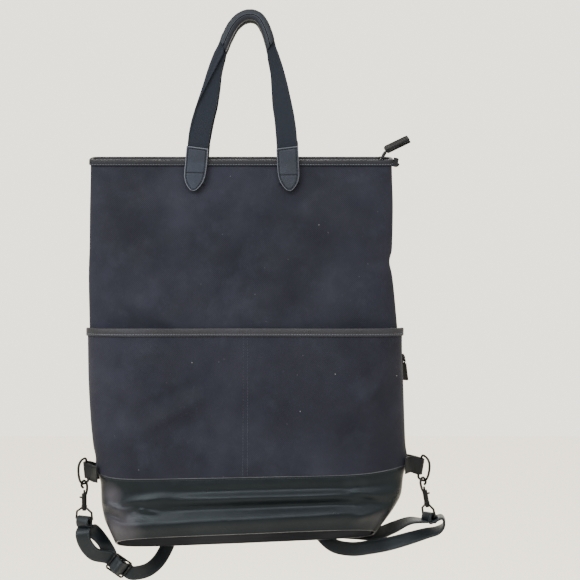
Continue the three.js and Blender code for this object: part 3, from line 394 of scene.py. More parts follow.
class Look:
    """A material, with short names for its nodes. Each of them gives the node's output."""

    def __init__(self, name):
        self.mat = bpy.data.materials.new(name)
        self.mat.use_nodes = True
        self.tree = self.mat.node_tree
        self.tree.nodes.clear()
        out = self.tree.nodes.new("ShaderNodeOutputMaterial")
        self.bsdf = self.tree.nodes.new("ShaderNodeBsdfPrincipled")
        self.tree.links.new(self.bsdf.outputs[0], out.inputs[0])
        self.vec = self.node("TexCoord", {}, "Object")

    def plug(self, made, inputs):
        for key, value in inputs.items():
            if isinstance(value, bpy.types.NodeSocket):
                self.tree.links.new(value, made.inputs[key])
            else:
                made.inputs[key].default_value = value

    def node(self, kind, inputs, output=0, **props):
        made = self.tree.nodes.new("ShaderNode" + kind)
        for key, value in props.items():
            setattr(made, key, value)
        self.plug(made, inputs)
        return made.outputs[output]

    def shade(self, **inputs):
        self.plug(self.bsdf, {key.replace("_", " "): value for key, value in inputs.items()})

    def noise(self, scale, detail=4, rough=0.55):
        return self.node("TexNoise", {"Vector": self.vec, "Scale": scale, "Detail": detail, "Roughness": rough})

    def ramp(self, value, low, high, to_low=0.0, to_high=1.0):
        ends = {"From Min": low, "From Max": high, "To Min": to_low, "To Max": to_high}
        return self.node("MapRange", {"Value": value, **ends})

    def math(self, kind, a, b=0.0):
        return self.node("Math", {0: a, 1: b}, operation=kind)

    def mul(self, a, b):
        return self.math("MULTIPLY", a, b)

    def add(self, a, b):
        return self.math("ADD", a, b)

    def mix(self, factor, a, b):
        return self.node("Mix", {0: factor, 6: a, 7: b}, 2, data_type="RGBA")

    def spots(self, base, share, colour, low, high, *grain):
        """Spots of another colour over the base, where a noise of that grain is high."""
        return self.mix(self.mul(self.ramp(self.noise(*grain), low, high), share), base, linear(colour))

    def split(self, vector, *axes):
        parts = self.node("SeparateXYZ", {0: vector}).node.outputs
        return [parts[k] for k in axes]

    def weave(self, pitch):
        """Plain weave in X and Z: two crossed sets of threads, over and under."""
        a, b = (self.math("SINE", self.mul(part, math.pi / pitch)) for part in self.split(self.vec, 0, 2))
        ridge = self.add(self.math("ABSOLUTE", a), self.math("ABSOLUTE", b))
        return self.add(self.mul(self.mul(a, b), 0.5), self.mul(ridge, 0.35))

    def bump(self, height, distance, strength, before=None):
        inputs = {"Height": height, "Distance": distance, "Strength": strength}
        made = self.node("Bump", {**inputs, "Normal": before} if before else inputs)
        self.shade(Normal=made)
        return made


# The first colour is lint, pale specks; the second is painted highlight, laid on the base where light catches it
LINT, BASE_HIGHLIGHT = (110, 110, 114), (43, 41, 46)
WEAVE_PITCH, WEB_ZIGZAG, WEB_LINE, WEB_RIB = 0.0011, 0.0031, 0.0016, 0.0011
# Pale patches of painted highlight on the base, in metres, each with its radius
BASE_HIGHLIGHT_AT = [((-0.148, -0.03, -0.571), 0.03), ((0.15, -0.03, -0.566), 0.016), ((-0.155, -0.02, -0.535), 0.014)]


def canvas_material(name, dark, light, worn):
    look = Look(name)
    base = look.mix(look.ramp(look.noise(9, 6, 0.62), 0.38, 0.62), linear(dark), linear(light))
    base = look.spots(base, 0.22, worn, 0.5, 0.72, 26, 5, 0.65)
    base = look.spots(base, 0.35, worn, 0.6, 0.78, 420, 3, 0.7)
    base = look.spots(base, 0.5, LINT, 0.79, 0.815, 330, 2, 0.4)
    look.shade(Base_Color=base, Roughness=look.ramp(look.noise(30, 3), 0.3, 0.7, 0.62, 0.8), Sheen_Weight=0.02,
               Sheen_Roughness=0.5, Specular_IOR_Level=0.06)
    look.bump(look.noise(60, 4), 0.0006, 0.5, look.bump(look.weave(WEAVE_PITCH), 0.00022, 0.7))
    return look.mat


def leather_material(name, dark, light, roughness, grain, scale, shine, tint=(1, 1, 1, 1), worn=None, highlight_patches=()):
    look = Look(name)
    base = look.mix(look.ramp(look.noise(14 * scale, 5), 0.35, 0.68), linear(dark), linear(light))
    if worn:
        base = look.spots(base, 0.3, worn, 0.6, 0.75, 26, 4)
    # Painted highlight: pale patches round the given places
    for place_, radius in highlight_patches:
        off = look.node("VectorMath", {0: look.vec, 1: place_}, "Value", operation="DISTANCE")
        ragged = look.add(off, look.mul(look.noise(60, 5, 0.65), radius * 0.8))
        base = look.mix(look.ramp(ragged, radius * 1.5, radius * 0.45, 0, 0.8), base, linear(BASE_HIGHLIGHT))
    rough = look.ramp(look.noise(45, 4), 0.3, 0.7, roughness - 0.07, roughness + 0.1)
    look.shade(Base_Color=base, Roughness=rough, Specular_IOR_Level=shine, Specular_Tint=tint)
    cells = look.node("TexVoronoi", {"Vector": look.vec, "Scale": 820 * scale}, "Distance", feature="DISTANCE_TO_EDGE")
    look.bump(look.noise(130, 5), 0.0007, 0.35, look.bump(look.ramp(cells, 0, 0.12), 0.00012, grain))
    return look.mat


def webbing_material(name, dark, light):
    look = Look(name)
    across, along = look.split(look.node("TexCoord", {}, "UV"), 0, 1)
    zigzag = look.mul(look.math("PINGPONG", across, WEB_ZIGZAG), 0.9)
    line = look.math("SINE", look.mul(look.add(along, zigzag), TAU / WEB_LINE))
    ribs = look.math("SINE", look.mul(across, TAU / WEB_RIB))
    height = look.add(look.mul(line, 0.6), look.mul(ribs, 0.4))
    look.shade(Base_Color=look.mix(look.ramp(height, -1, 1), linear(dark), linear(light)), Roughness=0.72,
               Specular_IOR_Level=0.12, Specular_Tint=(0.8, 0.88, 1, 1))
    look.bump(height, 0.0003, 0.8)
    return look.mat


def metal_material(name, colour, roughness):
    look = Look(name)
    worn = linear([min(255, c + 55) for c in colour])
    base = look.mix(look.ramp(look.noise(160, 5), 0.62, 0.75), linear(colour), worn)
    rough = look.ramp(look.noise(300, 3), 0.3, 0.7, roughness - 0.06, roughness + 0.1)
    look.shade(Base_Color=base, Metallic=0.85, Roughness=rough)
    look.bump(look.noise(900, 2), 0.00005, 0.3)
    return look.mat


# name, darker and lighter colour, roughness, grain, scale, shine, tint of the shine, worn colour, places of painted
# highlight
LEATHERS = {
    "base": ("base leather", (1, 3, 5), (4, 7, 10), 0.34, 0.45, 1, 0.1, (0.82, 0.92, 1, 1), (22, 24, 28), BASE_HIGHLIGHT_AT),
    # The bottom panel's colour is painted shade: dark, standing for the shade under the bag where the floor lights it
    "bottom": ("bottom leather", (18, 19, 22), (26, 27, 30), 0.55, 0.45, 1, 0),
    "binding": ("binding leather", (10, 11, 16), (17, 18, 24), 0.5, 0.5, 1.6, 0.15),
    "mouth": ("mouth leather", (7, 8, 12), (13, 14, 19), 0.5, 0.5, 1.6, 0.08),
    "edge": ("leather edge", (40, 42, 49), (60, 63, 71), 0.5, 0.3, 1.6, 0.2),
    "lap": ("lap edge", (24, 26, 32), (40, 43, 50), 0.5, 0.3, 1.6, 0.15),
    "grip": ("grip leather", (6, 8, 12), (14, 16, 22), 0.45, 0.5, 1.4, 0.1, (0.85, 0.94, 1, 1)),
    "tab": ("tab leather", (7, 9, 15), (15, 18, 26), 0.5, 0.45, 1.4, 0.12, (0.85, 0.92, 1, 1)),
    "ring_tab": ("ring tab leather", (5, 6, 8), (11, 13, 16), 0.45, 0.45, 1.4, 0.08),
    "strap": ("strap leather", (3, 5, 8), (9, 12, 15), 0.38, 0.4, 1.3, 0.12, (0.85, 0.94, 1, 1), (24, 28, 32)),
    "pull": ("pull leather", (3, 3, 4), (8, 8, 10), 0.45, 0.45, 1.6, 0.08, (0.8, 0.9, 1, 1)),
    "thread": ("thread", (46, 49, 57), (66, 70, 80), 0.6, 0.3, 2, 0.1),
    "canvas_thread": ("canvas thread", (22, 23, 29), (34, 36, 43), 0.6, 0.3, 2, 0.1),
    # Dark stitching, and also the painted shadow line across the tabs
    "dark_thread_and_shadow": ("dark thread and shadow", (3, 4, 6), (8, 9, 12), 0.6, 0.3, 2, 0.05),
    "strap_thread": ("strap thread", (22, 26, 31), (38, 42, 48), 0.6, 0.3, 2, 0.1),
    "base_thread": ("base thread", (14, 18, 22), (26, 30, 35), 0.6, 0.3, 2, 0.1),
}
MATS = {key: leather_material(*row) for key, row in LEATHERS.items()}
MATS["canvas"] = canvas_material("canvas", (10, 11, 18), (17, 18, 26), (30, 32, 42))
MATS["tape"] = canvas_material("zip tape", (7, 8, 11), (12, 13, 17), (22, 23, 28))
MATS["webbing"] = webbing_material("webbing", (4, 6, 11), (13, 16, 23))
MATS["metal"] = metal_material("black metal", (9, 10, 11), 0.36)
MATS["teeth"] = metal_material("zip teeth", (7, 7, 8), 0.5)


def show(obj, slot, mat, *replaced, body="bag"):
    """Give a piece its material, its body and the nodes that it replaces. The slot is not used."""
    obj.data.materials.clear()
    obj.data.materials.append(MATS[mat])
    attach(obj, body)
    if replaced:
        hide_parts(*replaced)
    return obj


# The bag's walls
MOUTH_GAP, POCKET_GAP = 1.6 * GAP, 1.5 * GAP
BASE_LIP, LIP_HEIGHT = 0.7, 2.4
ring_angles = np.linspace(0, TAU, 320, endpoint=False)
half_turns = np.linspace(math.pi, TAU, 220)


def wall(name, levels, thickness, lip=0.0):
    """A hollow wall through the levels, rounded at both rims, with a folded lip at the top if asked."""
    levels = np.asarray(levels)
    edge = np.array([0.45, 0.12]) * thickness
    raised = lip * np.exp(-(((levels - levels[0]) * BAG_H / LIP_HEIGHT) ** 4))
    outer = [cloth_point(ring_angles, levels[0], e - lip) for e in edge]
    outer += [cloth_point(ring_angles, a, -up) for a, up in zip(levels[1:-1], raised[1:-1])]
    outer += [cloth_point(ring_angles, levels[-1], e) for e in edge[::-1]]
    inner = [cloth_point(ring_angles, a, thickness) for a in levels[::-4]]
    return loft(name, outer + inner, ring=True)


canvas_levels = np.concatenate([[0, 0.0005], np.linspace(0.004, 0.82, 104), [SEAM - 0.0008, SEAM - 0.0004]])
body = wall("canvas_wall", canvas_levels, CANVAS)
base_levels = np.concatenate([[SEAM + 0.0003, SEAM + 0.0008], np.linspace(0.8285, 0.84, 14),
                              np.linspace(0.842, 0.997, 80), [0.9995, 1.0]])
base = wall("base_wall", base_levels, LEATHER, BASE_LIP)


def panel():
    """The bottom, sagging a little between the base's edges."""
    inset = LEATHER + 2 * GAP
    turns = np.linspace(math.pi + 0.06 * math.pi, TAU - 0.06 * math.pi, 120)
    rows = []
    share = np.linspace(0, 1, 26)
    for a in turns:
        front, back = bag_point(a, 1.0, inset), bag_point(TAU - a, 1.0, inset)
        middle = front + (back - front) * share[:, None]
        sag = 4 * share * (1 - share) * math.sin(a) * 0.05 * BAG_D
        low = middle + np.stack([0 * sag, 0 * sag, sag + GAP], -1)
        rows.append(np.vstack([low, (low + [0, 0, LEATHER])[::-1]]))
    return loft("base_bottom", rows)


def pocket_outset(angle, at):
    """How far the pocket stands off the canvas: two pouches, and a flare at the right end of its mouth."""
    down = np.clip((at - POCKET_AT) / (SEAM - POCKET_AT), 0, 1)
    pouch = np.sin(2 * angle) ** 2
    flare = FLARE * np.maximum(0, np.cos(angle)) ** 6 * np.maximum(0, 1 - 3.2 * down) ** 2
    return POCKET_GAP + STAND_OFF * pouch * np.maximum(0, 1 - down ** 1.5) + flare


def pocket():
    levels = np.concatenate([[POCKET_AT, POCKET_AT + 0.0006], np.linspace(0.449, 0.82, 74),
                             [SEAM - 0.0009, SEAM - 0.0004]])
    rows = []
    for i, at in enumerate(levels):
        out = pocket_outset(half_turns, at)
        soft = 0.5 if i in (0, len(levels) - 1) else 0
        outer = cloth_point(half_turns, at, -out - CANVAS + soft)
        inner = cloth_point(half_turns, at, -out)
        rows.append(np.vstack([outer, inner[::-1]]))
    return loft("pocket_wall", rows)


def band(name, place_, height, outside, inside=None):
    """Leather folded over an edge, with a groove for its stitches. place_(inset, lift) gives a row of points.

    With `inside` it is a ring that goes down the inner side too, else a strip that ends at the edge.
    """
    out, far_out = -outside, -outside - BAND_WALL
    top, round_, over = GAP, GAP + BAND_WALL * 0.7, GAP + BAND_WALL
    profile = [(out, -height), (far_out + 0.35, -height - 0.15), (far_out, -height + 0.5), (far_out, -height + 1.7),
               (far_out + 0.22, -height + 2.2), (far_out, -height + 2.7), (far_out, top * 0.2),
               (far_out + 0.25, round_), (far_out + 0.8, over)]
    if inside is None:
        profile += [(0, over), (0, top), (out, top)]
    else:
        far = inside + BAND_WALL
        profile += [(far - 0.8, over), (far - 0.2, round_), (far, top * 0.2), (far, -height), (inside, -height),
                    (inside, top), (out, top)]
    rows = [place_(*point) for point in profile]
    return loft(name, np.stack(rows, 1)) if inside is None else loft(name, rows, ring=True)


def mouth_place(inset, lift):
    return bag_point(ring_angles, max(0, -lift / BAG_H), inset, max(0, lift))


def pocket_place(inset, lift):
    at = POCKET_AT - lift / BAG_H
    return bag_point(half_turns, at, inset - pocket_outset(half_turns, max(at, POCKET_AT)))


mouth = band("mouth_edge", mouth_place, MOUTH_BAND, MOUTH_GAP, CANVAS + MOUTH_GAP)
pocket_edge = band("pocket_edge", pocket_place, POCKET_BAND, CANVAS + POCKET_GAP)
show(body, "canvas", "canvas", "canvas_body")
show(base, "base_leather", "base", "leather_base")
welt = cloth_point(np.linspace(0, TAU, 700, endpoint=False), SEAM + 0.0012, -0.72)
show(wire("base_welt", welt, 0.48, True, 8), "base_leather", "edge")
show(panel(), "base_leather", "bottom", "base_panel")
show(pocket(), "canvas", "canvas", "front_pocket")
show(mouth, "binding_leather", "mouth", "mouth_binding")
show(pocket_edge, "binding_leather", "binding", "pocket_binding")


# Handles. foot, x of its middle, lean
FEET = [("left", -61.2, 0.085), ("right", 42.2, -0.05)]
# How far a tab's outline tips over, and the height of the crease across it
TAB_TIP = {"left": (0.129, 15), "right": (-0.125, 18)}
RUN = [(-57.2, -128), (-53.2, -110), (-48.6, -93.6), (-44.2, -75), (-40.4, -57), (-34.8, -38.6), (-27.8, -20.3),
       (-19, -4), (-9.5, 4.2), (0, 6.4), (8.4, 3.6), (14.8, -4.8), (20.6, -20.3), (24.6, -38.6), (29.2, -57),
       (32.2, -75), (34.8, -93.6), (37.6, -110), (39.6, -128)]
WEB, WEB_T = 23.5, 2
WEB_OUT = 3 * GAP + BAND_WALL + WEB_T / 2
TAB_OUT = WEB_OUT + WEB_T / 2 + 2 * GAP + LEATHER / 2
TAB_FACE = TAB_OUT + LEATHER / 2
TAB_HALF, TAB_START, TAB_END = 12.3, -17, 39.5


def handle_stations(side):
    """The handle's course, from foot to foot."""
    points, widths = [], []
    x, lean = FEET[0][1:]
    for drop in (26, 8, -8):
        points.append(on_face(side, x - lean * drop, drop, WEB_OUT))
        widths.append(angles_to_width(0, 0))
    for i, (x, up) in enumerate(RUN):
        t = min(1, max(0, (up + DROP) / DROP))
        high = t * t * (3 - 2 * t)
        ahead, behind = RUN[min(i + 1, len(RUN) - 1)], RUN[max(i - 1, 0)]
        heading = math.degrees(math.atan2(ahead[1] - behind[1], ahead[0] - behind[0]))
        points.append((x, side * (11.5 * (1 - high) + 6.8 * high), up))
        widths.append(angles_to_width(heading - 90, 0))
    x, lean = FEET[1][1:]
    for drop in (-8, 8, 26):
        points.append(on_face(side, x - lean * drop, drop, WEB_OUT))
        widths.append(angles_to_width(-180, 0))
    return route(np.array(points), np.array(widths), 8)


# The webbing's seen width by height: its outer edge folds over below the grip
WEB_WIDTHS = np.array([(-150, 23.5), (-130, 22.8), (-111, 22), (-93.5, 21), (-75, 18), (-57, 14.6), (-38.7, 12.3),
                       (-31, 9.6), (-20, 9)])
FOLD_R = 1.35


def webbing_profile(width, way):
    """The webbing's section: its outer edge folded over to the side `way`, its free edge towards the loop's inside."""
    flap = min(WEB, 1.95 * width) - width
    turn = min(0.98 * math.pi, 1.6 * flap / FOLD_R)
    rest = flap + FOLD_R - FOLD_R * turn
    flat = [(x, 0, 0) for x in np.linspace(width / 2, FOLD_R - width / 2, 14)[:-1]]
    bend = [(FOLD_R - width / 2 - FOLD_R * math.sin(q), FOLD_R - FOLD_R * math.cos(q), q)
            for q in np.linspace(0, turn, 11)]
    x, y, q = bend[-1]
    over = [(x - math.cos(q) * rest * t, y + math.sin(q) * rest * t, q) for t in np.linspace(0, 1, 12)[1:]]
    line = np.array(flat + bend + over)
    normal = np.stack([np.sin(line[:, 2]), np.cos(line[:, 2])], -1)
    ends = np.minimum(np.arange(len(line)), np.arange(len(line))[::-1])
    half = (WEB_T / 2 * np.interp(ends, [0, 1], [0.6, 1]))[:, None]
    upper, lower = line[:, :2] + normal * half, line[:, :2] - normal * half
    loop = np.vstack([upper, lower[::-1]])
    loop[:, 1] = (loop[:, 1] - FOLD_R * turn / math.pi) * way
    return loop


def handle(side, name):
    stations = handle_stations(side)
    here = stations[1]
    profiles = []
    for x, _, z in here:
        width = np.interp(z, WEB_WIDTHS[:, 0], WEB_WIDTHS[:, 1])
        way = -side * np.clip(x / 9, -1, 1) if z > -30 else -side * np.sign(x)
        profiles.append(webbing_profile(width, way))
    return ribbon("webbing_" + name, stations, lambda i: profiles[i]), stations


GRIP_HALF, GRIP_THICK, GRIP_WALL, GRIP_SLANT = 5.9, 4.8, 1.3, 4.8


def grip(side, name, stations):
    """A leather sleeve, its outer edge lapped over its inner one along the front, cut at a slant at both ends."""
    _, here, along, wide, out = stations
    keep = [i for i in range(len(here)) if here[i][2] > -31]
    q = np.linspace(0, TAU, 96, endpoint=False)
    shape = np.stack([np.sign(f) * np.abs(f) ** 0.75 for f in (np.cos(q), np.sin(q))], -1)
    facing = np.clip(np.sin(q) * side * 4, 0, 1)
    rows_out, rows_in = [], []
    for i in keep:
        end = min(i - keep[0], keep[-1] - i)
        wave = 0.14 * math.sin(i * 1.7) + 0.12 * math.sin(i * 0.9 + 1)
        a, b = GRIP_HALF + 0.5 * wave, GRIP_THICK + 0.4 * wave
        x = shape[:, 0] * a
        lap = 0.85 * np.clip((0.4 - x) / 0.25, 0, 1)
        lap += 0.3 * np.exp(-((x - 1.5) / 0.4) ** 2) - 0.95 * np.exp(-((x - 0.75) / 0.32) ** 2)
        slant = (1 if here[i][0] > 0 else -1) * GRIP_SLANT * math.exp(-(end / 7) ** 2)
        rim = 0.5 * math.exp(-end / 0.7)
        centre = here[i] + along[i] * (shape[:, :1] * slant)
        high = shape[:, 1] * (b - rim) + side * facing * lap
        rows_out.append(centre + wide[i] * (x - shape[:, 0] * rim)[:, None] + out[i] * high[:, None])
        rows_in.append(centre + wide[i] * (shape[:, :1] * (a - GRIP_WALL)) + out[i] * (shape[:, 1:] * (b - GRIP_WALL)))
    return loft("sleeve_" + name, rows_out + rows_in[::-1], ring=True)


# A tab's half width by drop, as a share of the widest
OUTLINE = np.array([(-17, 0.94), (-16, 1), (-8, 1), (2, 1), (12, 1), (20, 0.97), (27, 0.84), (33, 0.6), (37.5, 0.32),
                    (39.3, 0.1), (39.5, 0.04)])


def tab_place(side, foot, x, lean, across, down, outset):
    """A point of a tab, which is turned with its leg of the handle."""
    rise = TAB_TIP[foot][0] * np.clip((20 - down) / 20, 0, 1)
    down = TAB_START - 0.5 + (down - TAB_START) * 0.955
    return on_face(side, x - lean * down + across, down + across * rise, outset)


def tab(side, foot, x, lean, name):
    drops = np.concatenate([np.linspace(TAB_START, -16, 4), np.linspace(-15.4, 38, 56), np.linspace(38.3, TAB_END, 8)])
    shares = np.interp(drops, OUTLINE[:, 0], OUTLINE[:, 1])
    kernel = np.array([1, 2, 3, 2, 1]) / 9
    soft = np.convolve(np.pad(shares, 2, mode="edge"), kernel, "valid")
    shares = np.where(drops > -12, soft, shares)
    s = np.linspace(-1, 1, 41)
    rows = []
    for drop, share in zip(drops, shares):
        half = share * TAB_HALF
        inward = (1 - np.abs(s)) * half
        nose = np.minimum(drop - TAB_START, TAB_END - drop)
        near = np.minimum(inward, nose * 0.9)
        round_ = 0.6 * np.exp(-near / 0.5)
        groove = 0.5 * np.exp(-((near - 2.4) / 0.5) ** 2) - 0.3 * np.exp(-((near - 1.3) / 0.5) ** 2)
        cross = 0.35 * np.exp(-((drop - TAB_TIP[foot][1]) / 0.8) ** 2) * np.clip((near - 2) / 1, 0, 1)
        top = tab_place(side, foot, x, lean, s * half, drop, TAB_FACE - round_ - groove - cross)
        low = tab_place(side, foot, x, lean, s * half, drop, TAB_OUT - LEATHER / 2 + round_ * 0.6)
        rows.append(np.vstack([top, low[::-1]]))
    return loft("tab_" + name, rows)


def tab_rim(side, foot, x, lean, name):
    """The tab's raised, paler edge."""
    down = np.concatenate([np.full(12, -16.4), np.linspace(-16.4, 39, 70), np.linspace(39, -16.4, 70)[1:-1]])
    share = np.interp(down, OUTLINE[:, 0], OUTLINE[:, 1])
    across = np.concatenate([np.linspace(-1, 1, 14)[1:-1], np.ones(70), -np.ones(68)])
    across = across * np.maximum(0, share * TAB_HALF - 0.55)
    return wire("tab_rim_" + name, tab_place(side, foot, x, lean, across, down, TAB_FACE - 0.2), 0.36, True, 10)


def tab_stitches(side, foot, x, lean, name):
    """Thread round a tab's edge."""
    drops = np.linspace(-14.5, 36, 60)
    shares = np.interp(drops, OUTLINE[:, 0], OUTLINE[:, 1])
    lines = [(s * np.maximum(0.2, shares * TAB_HALF - 2.4), drops, TAB_FACE - 0.42) for s in (-1, 1)]
    lines.append((np.linspace(-9.9, 9.9, 30), np.full(30, -14.6), TAB_FACE - 0.3))
    runs = [(tab_place(side, foot, x, lean, *line), np.tile([0, side, 0], (len(line[0]), 1))) for line in lines]
    return stitches("tab_thread_" + name, runs, *TAB_THREAD)


def tab_shadow_line(side, foot, x, lean, name):
    """A dark line across a tab, painted shadow where the webbing below it ends."""
    p = tab_place(side, foot, x, lean, np.linspace(-9.6, 9.6, 30), float(TAB_TIP[foot][1]), TAB_FACE - 0.3)
    return wire("tab_shadow_line_" + name, p, 0.42, False, 6)


for side, face in ((-1, "front"), (1, "back")):
    web, stations = handle(side, face)
    show(web, "webbing", "webbing", "handle_" + face)
    show(grip(side, face, stations), "grip_leather", "grip", "grip_" + face)
    _, here, _, wide, out = stations
    inside = [i for i in range(len(here)) if here[i][2] > -29]
    for mark, across, high in (("a", 0.1, 5.5), ("b", 1.55, 4.95)):
        line = [here[i] + wide[i] * across + out[i] * side * high for i in inside]
        show(wire("sleeve_edge_%s_%s" % (face, mark), line, 0.26, False, 8), "grip_leather", "lap")
    for foot, x, lean in FEET:
        where = (side, foot, x, lean, face + "_" + foot)
        show(tab(*where), "tab_leather", "tab", "handle_tab_%s_%s" % (face, foot))
        show(tab_stitches(*where), "tab_leather", "dark_thread_and_shadow")
        # A dark wire across each tab: painted shadow where the webbing below it ends
        show(tab_shadow_line(*where), "tab_leather", "dark_thread_and_shadow")
        show(tab_rim(*where), "tab_leather", "edge")


# Leather and tape strips
def sheet(name, grid_top, grid_low):
    """A body between two grids of points, rows then columns."""
    return loft(name, [np.vstack([a, b[::-1]]) for a, b in zip(grid_top, grid_low)])


def v(*xyz):
    return np.array(xyz, float)


def place(across, back, down):
    return v(SHIFT + across * HALF, back * BAG_D, -DROP - down * BAG_H)


RING_WIRE, RING_INSIDE, RING_DEPTH, RING_TAB, RING_TAB_WALL, TAB_FOOT = 1.4, 25.7, 15, 18.5, 1.6, 4.6
HOOK_WIRE, HOOK_TOP = 1.5, 27.4
COLLAR_L, EYE_WIRE, EYE_WINDOW = 4.5, 1.3, 11
SLIDE_WIRE, SLIDE_WINDOW = 1.2, 8.5
STRAP_W, STRAP_T = 16, 2.6
# name: out, turn, droop, bar, lean, eye turn
FITTINGS = {
    "left": (-1, 66, 9, place(-1.0233, -0.014, 0.8171), 0, 0),
    "right": (1, 58, 15, place(1.1866, -0.014, 0.8079), 10, 90),
}


def ring_frame(name):
    """The ring's bar, the direction along it and the ring's reach away from it."""
    out, turn, droop, bar = FITTINGS[name][:4]
    turn, down = math.radians(turn), math.radians(droop)
    outward = v(out * math.cos(turn), -math.sin(turn), 0)
    up = v(0, 0, 1)
    return bar, up * math.cos(down) + outward * math.sin(down), outward * math.cos(down) - up * math.sin(down)


RING_SHAPE = [(-0.78, 0), (0, 0), (0.78, 0), (0.95, 0.07), (1, 0.25), (0.95, 0.6), (0.7, 0.88), (0.25, 1), (-0.25, 1),
              (-0.7, 0.88), (-0.95, 0.6), (-1, 0.25), (-0.95, 0.07)]


def ring_line(name, count):
    """The middle of the ring's wire, all round."""
    bar, way, reach = ring_frame(name)
    half, depth = RING_INSIDE / 2 + RING_WIRE, RING_DEPTH + RING_WIRE
    p = [bar + way * a * half + reach * b * depth for a, b in RING_SHAPE]
    return catmull(p[-2:] + p + p[:3], 2 + np.arange(count) * len(p) / count)


def frame_of(origin, x, z):
    """A 4 x 4 frame from its origin, about its X, and its Z."""
    z = unit(z)
    x = unit(x - z * np.dot(x, z))
    m = np.eye(4)
    m[:3, 0], m[:3, 1], m[:3, 2], m[:3, 3] = x, np.cross(z, x), z, origin
    return m


def put(m, p):
    return np.asarray(p, float) @ m[:3, :3].T + m[:3, 3]


def eye_frame(name):
    """The swivel eye's frame: Z up its hook's barrel, its origin at the barrel's foot."""
    out, turn, _, _, lean, eye = FITTINGS[name]
    line = ring_line(name, 200)
    lowest = line[np.argmin(line[:, 2])]
    tilt = math.radians(lean) * out
    up = v(-math.sin(tilt), 0, math.cos(tilt))
    along = v(math.cos(math.radians(turn)) * out, -math.sin(math.radians(turn)), 0)
    across = np.cross(along, up) * out
    across = across if across[0] * out > 0 else -across
    seat = HOOK_TOP - HOOK_WIRE - RING_WIRE - 1.8 * GAP
    c, s = math.cos(math.radians(eye)), math.sin(math.radians(eye))
    turned = np.eye(4)
    turned[:2, :2] = [[c, -s], [s, c]]
    return frame_of(lowest - up * seat, across, up) @ turned


def lean_tip(way):
    """The lean and the tip of a direction, as angles_to_width takes them."""
    return math.degrees(math.atan2(way[2], way[0])), math.degrees(math.asin(max(-1, min(1, way[1]))))


def ring_tab(name):
    """The leather loop that holds a ring, with a foot on the front and one on the back."""
    out = FITTINGS[name][0]
    bar, way, _ = ring_frame(name)
    at = (-bar[2] - DROP) / BAG_H
    wrap = RING_WIRE + GAP + 1.5
    away = unit(v(out, 0, 0) - way * out * way[0])
    span = np.cross(away, way)
    turns = [k * math.pi / 2 for k in (1, 0.5, 0, -0.5, -1)]
    loop = [bar + away * wrap * math.cos(a) + span * wrap * math.sin(a) for a in turns]
    if loop[0][1] > loop[4][1]:
        loop.reverse()

    def foot(side, turn_):
        angle = math.pi - side * turn_ if out < 0 else side * turn_
        return bag_point((angle + TAU) % TAU, at, -TAB_FOOT - (GAP + CANVAS if side < 0 else 0))

    points = [foot(-1, 0.32), foot(-1, 0.1)] + loop + [foot(1, 0.1), foot(1, 0.32)]
    widths = [angles_to_width(*lean_tip(way if 1 < i < 7 else v(0, 0, 1))) for i in range(9)]
    stations = route(np.array(points), np.array(widths), 10)
    return ribbon("ring_tab_loop_" + name, stations, rounded(RING_TAB, RING_TAB_WALL, 0.5, 2.2, 0.22)), stations


def edge_stitches(name, stations, width, thick, inset, thread, last=1.0):
    """Thread along both edges of a strip, on both faces, up to the share `last` of its length."""
    _, here, _, wide, out = stations
    keep = slice(0, int(last * (len(here) - 1)) + 1)
    runs = []
    for face in (1, -1):
        for s in (-1, 1):
            p = here[keep] + wide[keep] * s * (width / 2 - inset) + out[keep] * face * (thick / 2 - 0.12)
            runs.append((p, out[keep] * face))
    return stitches(name, runs, *thread)


for name in ("left", "right"):
    loop, stations = ring_tab(name)
    show(loop, "tab_leather", "ring_tab", "ring_tab_" + name)
    thread = edge_stitches("ring_tab_thread_" + name, stations, RING_TAB, RING_TAB_WALL, 2.2, PATCH_THREAD, 0.22)
    show(thread, "tab_leather", "dark_thread_and_shadow")

# Straps, as offsets from the middle of the ring's bar. x, y, z, lean, tip
RUNS = {
    "left": {
        "slide": (35.5, 4, -110.5, (0.78, 0.14, -0.6), 52),
        "fixed": [(23, 9.2, -96.5, 46, 22), (16, 6, -82, 28, 50), (6.5, 1, -70, 12, 30)],
        "moving": [(-3, -11, -70, 2, 0), (0, -8.5, -83, 22, 0), (9, -2, -96, 40, 0)],
        "rising": [(50.5, 9, -120.5, 82, 0), (65.1, 23, -121, 110, 0), (75.5, 36, -115, 136, 0),
                   (83.5, 46, -103, 153, 0), (89.5, 49.5, -87, 166, 0)],
        "back": [(-88, 0.9), (-72, 0.7), (-52, 0.45), (-35, 0.25), (-29, 0.14), (-28, 0.075)],
        "flat": 180,
    },
    "right": {
        "slide": (-132.5, 51, -54, (-0.55, 0, 0.83), 34),
        "fixed": [(-114.5, 44.4, -76, 48, 0), (-94.5, 45, -84, 72, 8), (-70.5, 40, -85.5, 88, 25),
                  (-47, 27, -83.4, 100, 45), (-29.2, 11, -72.6, 110, 58), (-10.5, -1, -62, 112, 78)],
        "moving": [(24, -7, -56.5, 50, 84), (26.5, -7, -64, 20, 80), (19.5, -7, -71.2, 105, 74),
                   (5.9, -6, -75.2, 100, 60), (-12, -4, -81, 100, 48), (-34, 1, -88.5, 98, 38),
                   (-54.5, 13, -95.5, 96, 26), (-76.5, 27, -101.5, 88, 16), (-97.5, 42, -100.5, 68, 8),
                   (-112.5, 51, -88, 45, 0)],
        "rising": [(-146.5, 51, -30, 30, 0)],
        "back": [(34, 0.78), (20, 0.55), (10, 0.35), (6.5, 0.2), (6, 0.075)],
        "flat": 12,
    },
}
OFF_BACK = GAP + STRAP_T / 2 + 1.3


def slide_frame(name):
    x, y, z, along, lean = RUNS[name]["slide"]
    way = unit(v(*along))
    wide = v(math.cos(math.radians(lean)), 0, math.sin(math.radians(lean)))
    wide = unit(wide - way * np.dot(wide, way))
    return v(x, y, z) + FITTINGS[name][3], way, wide


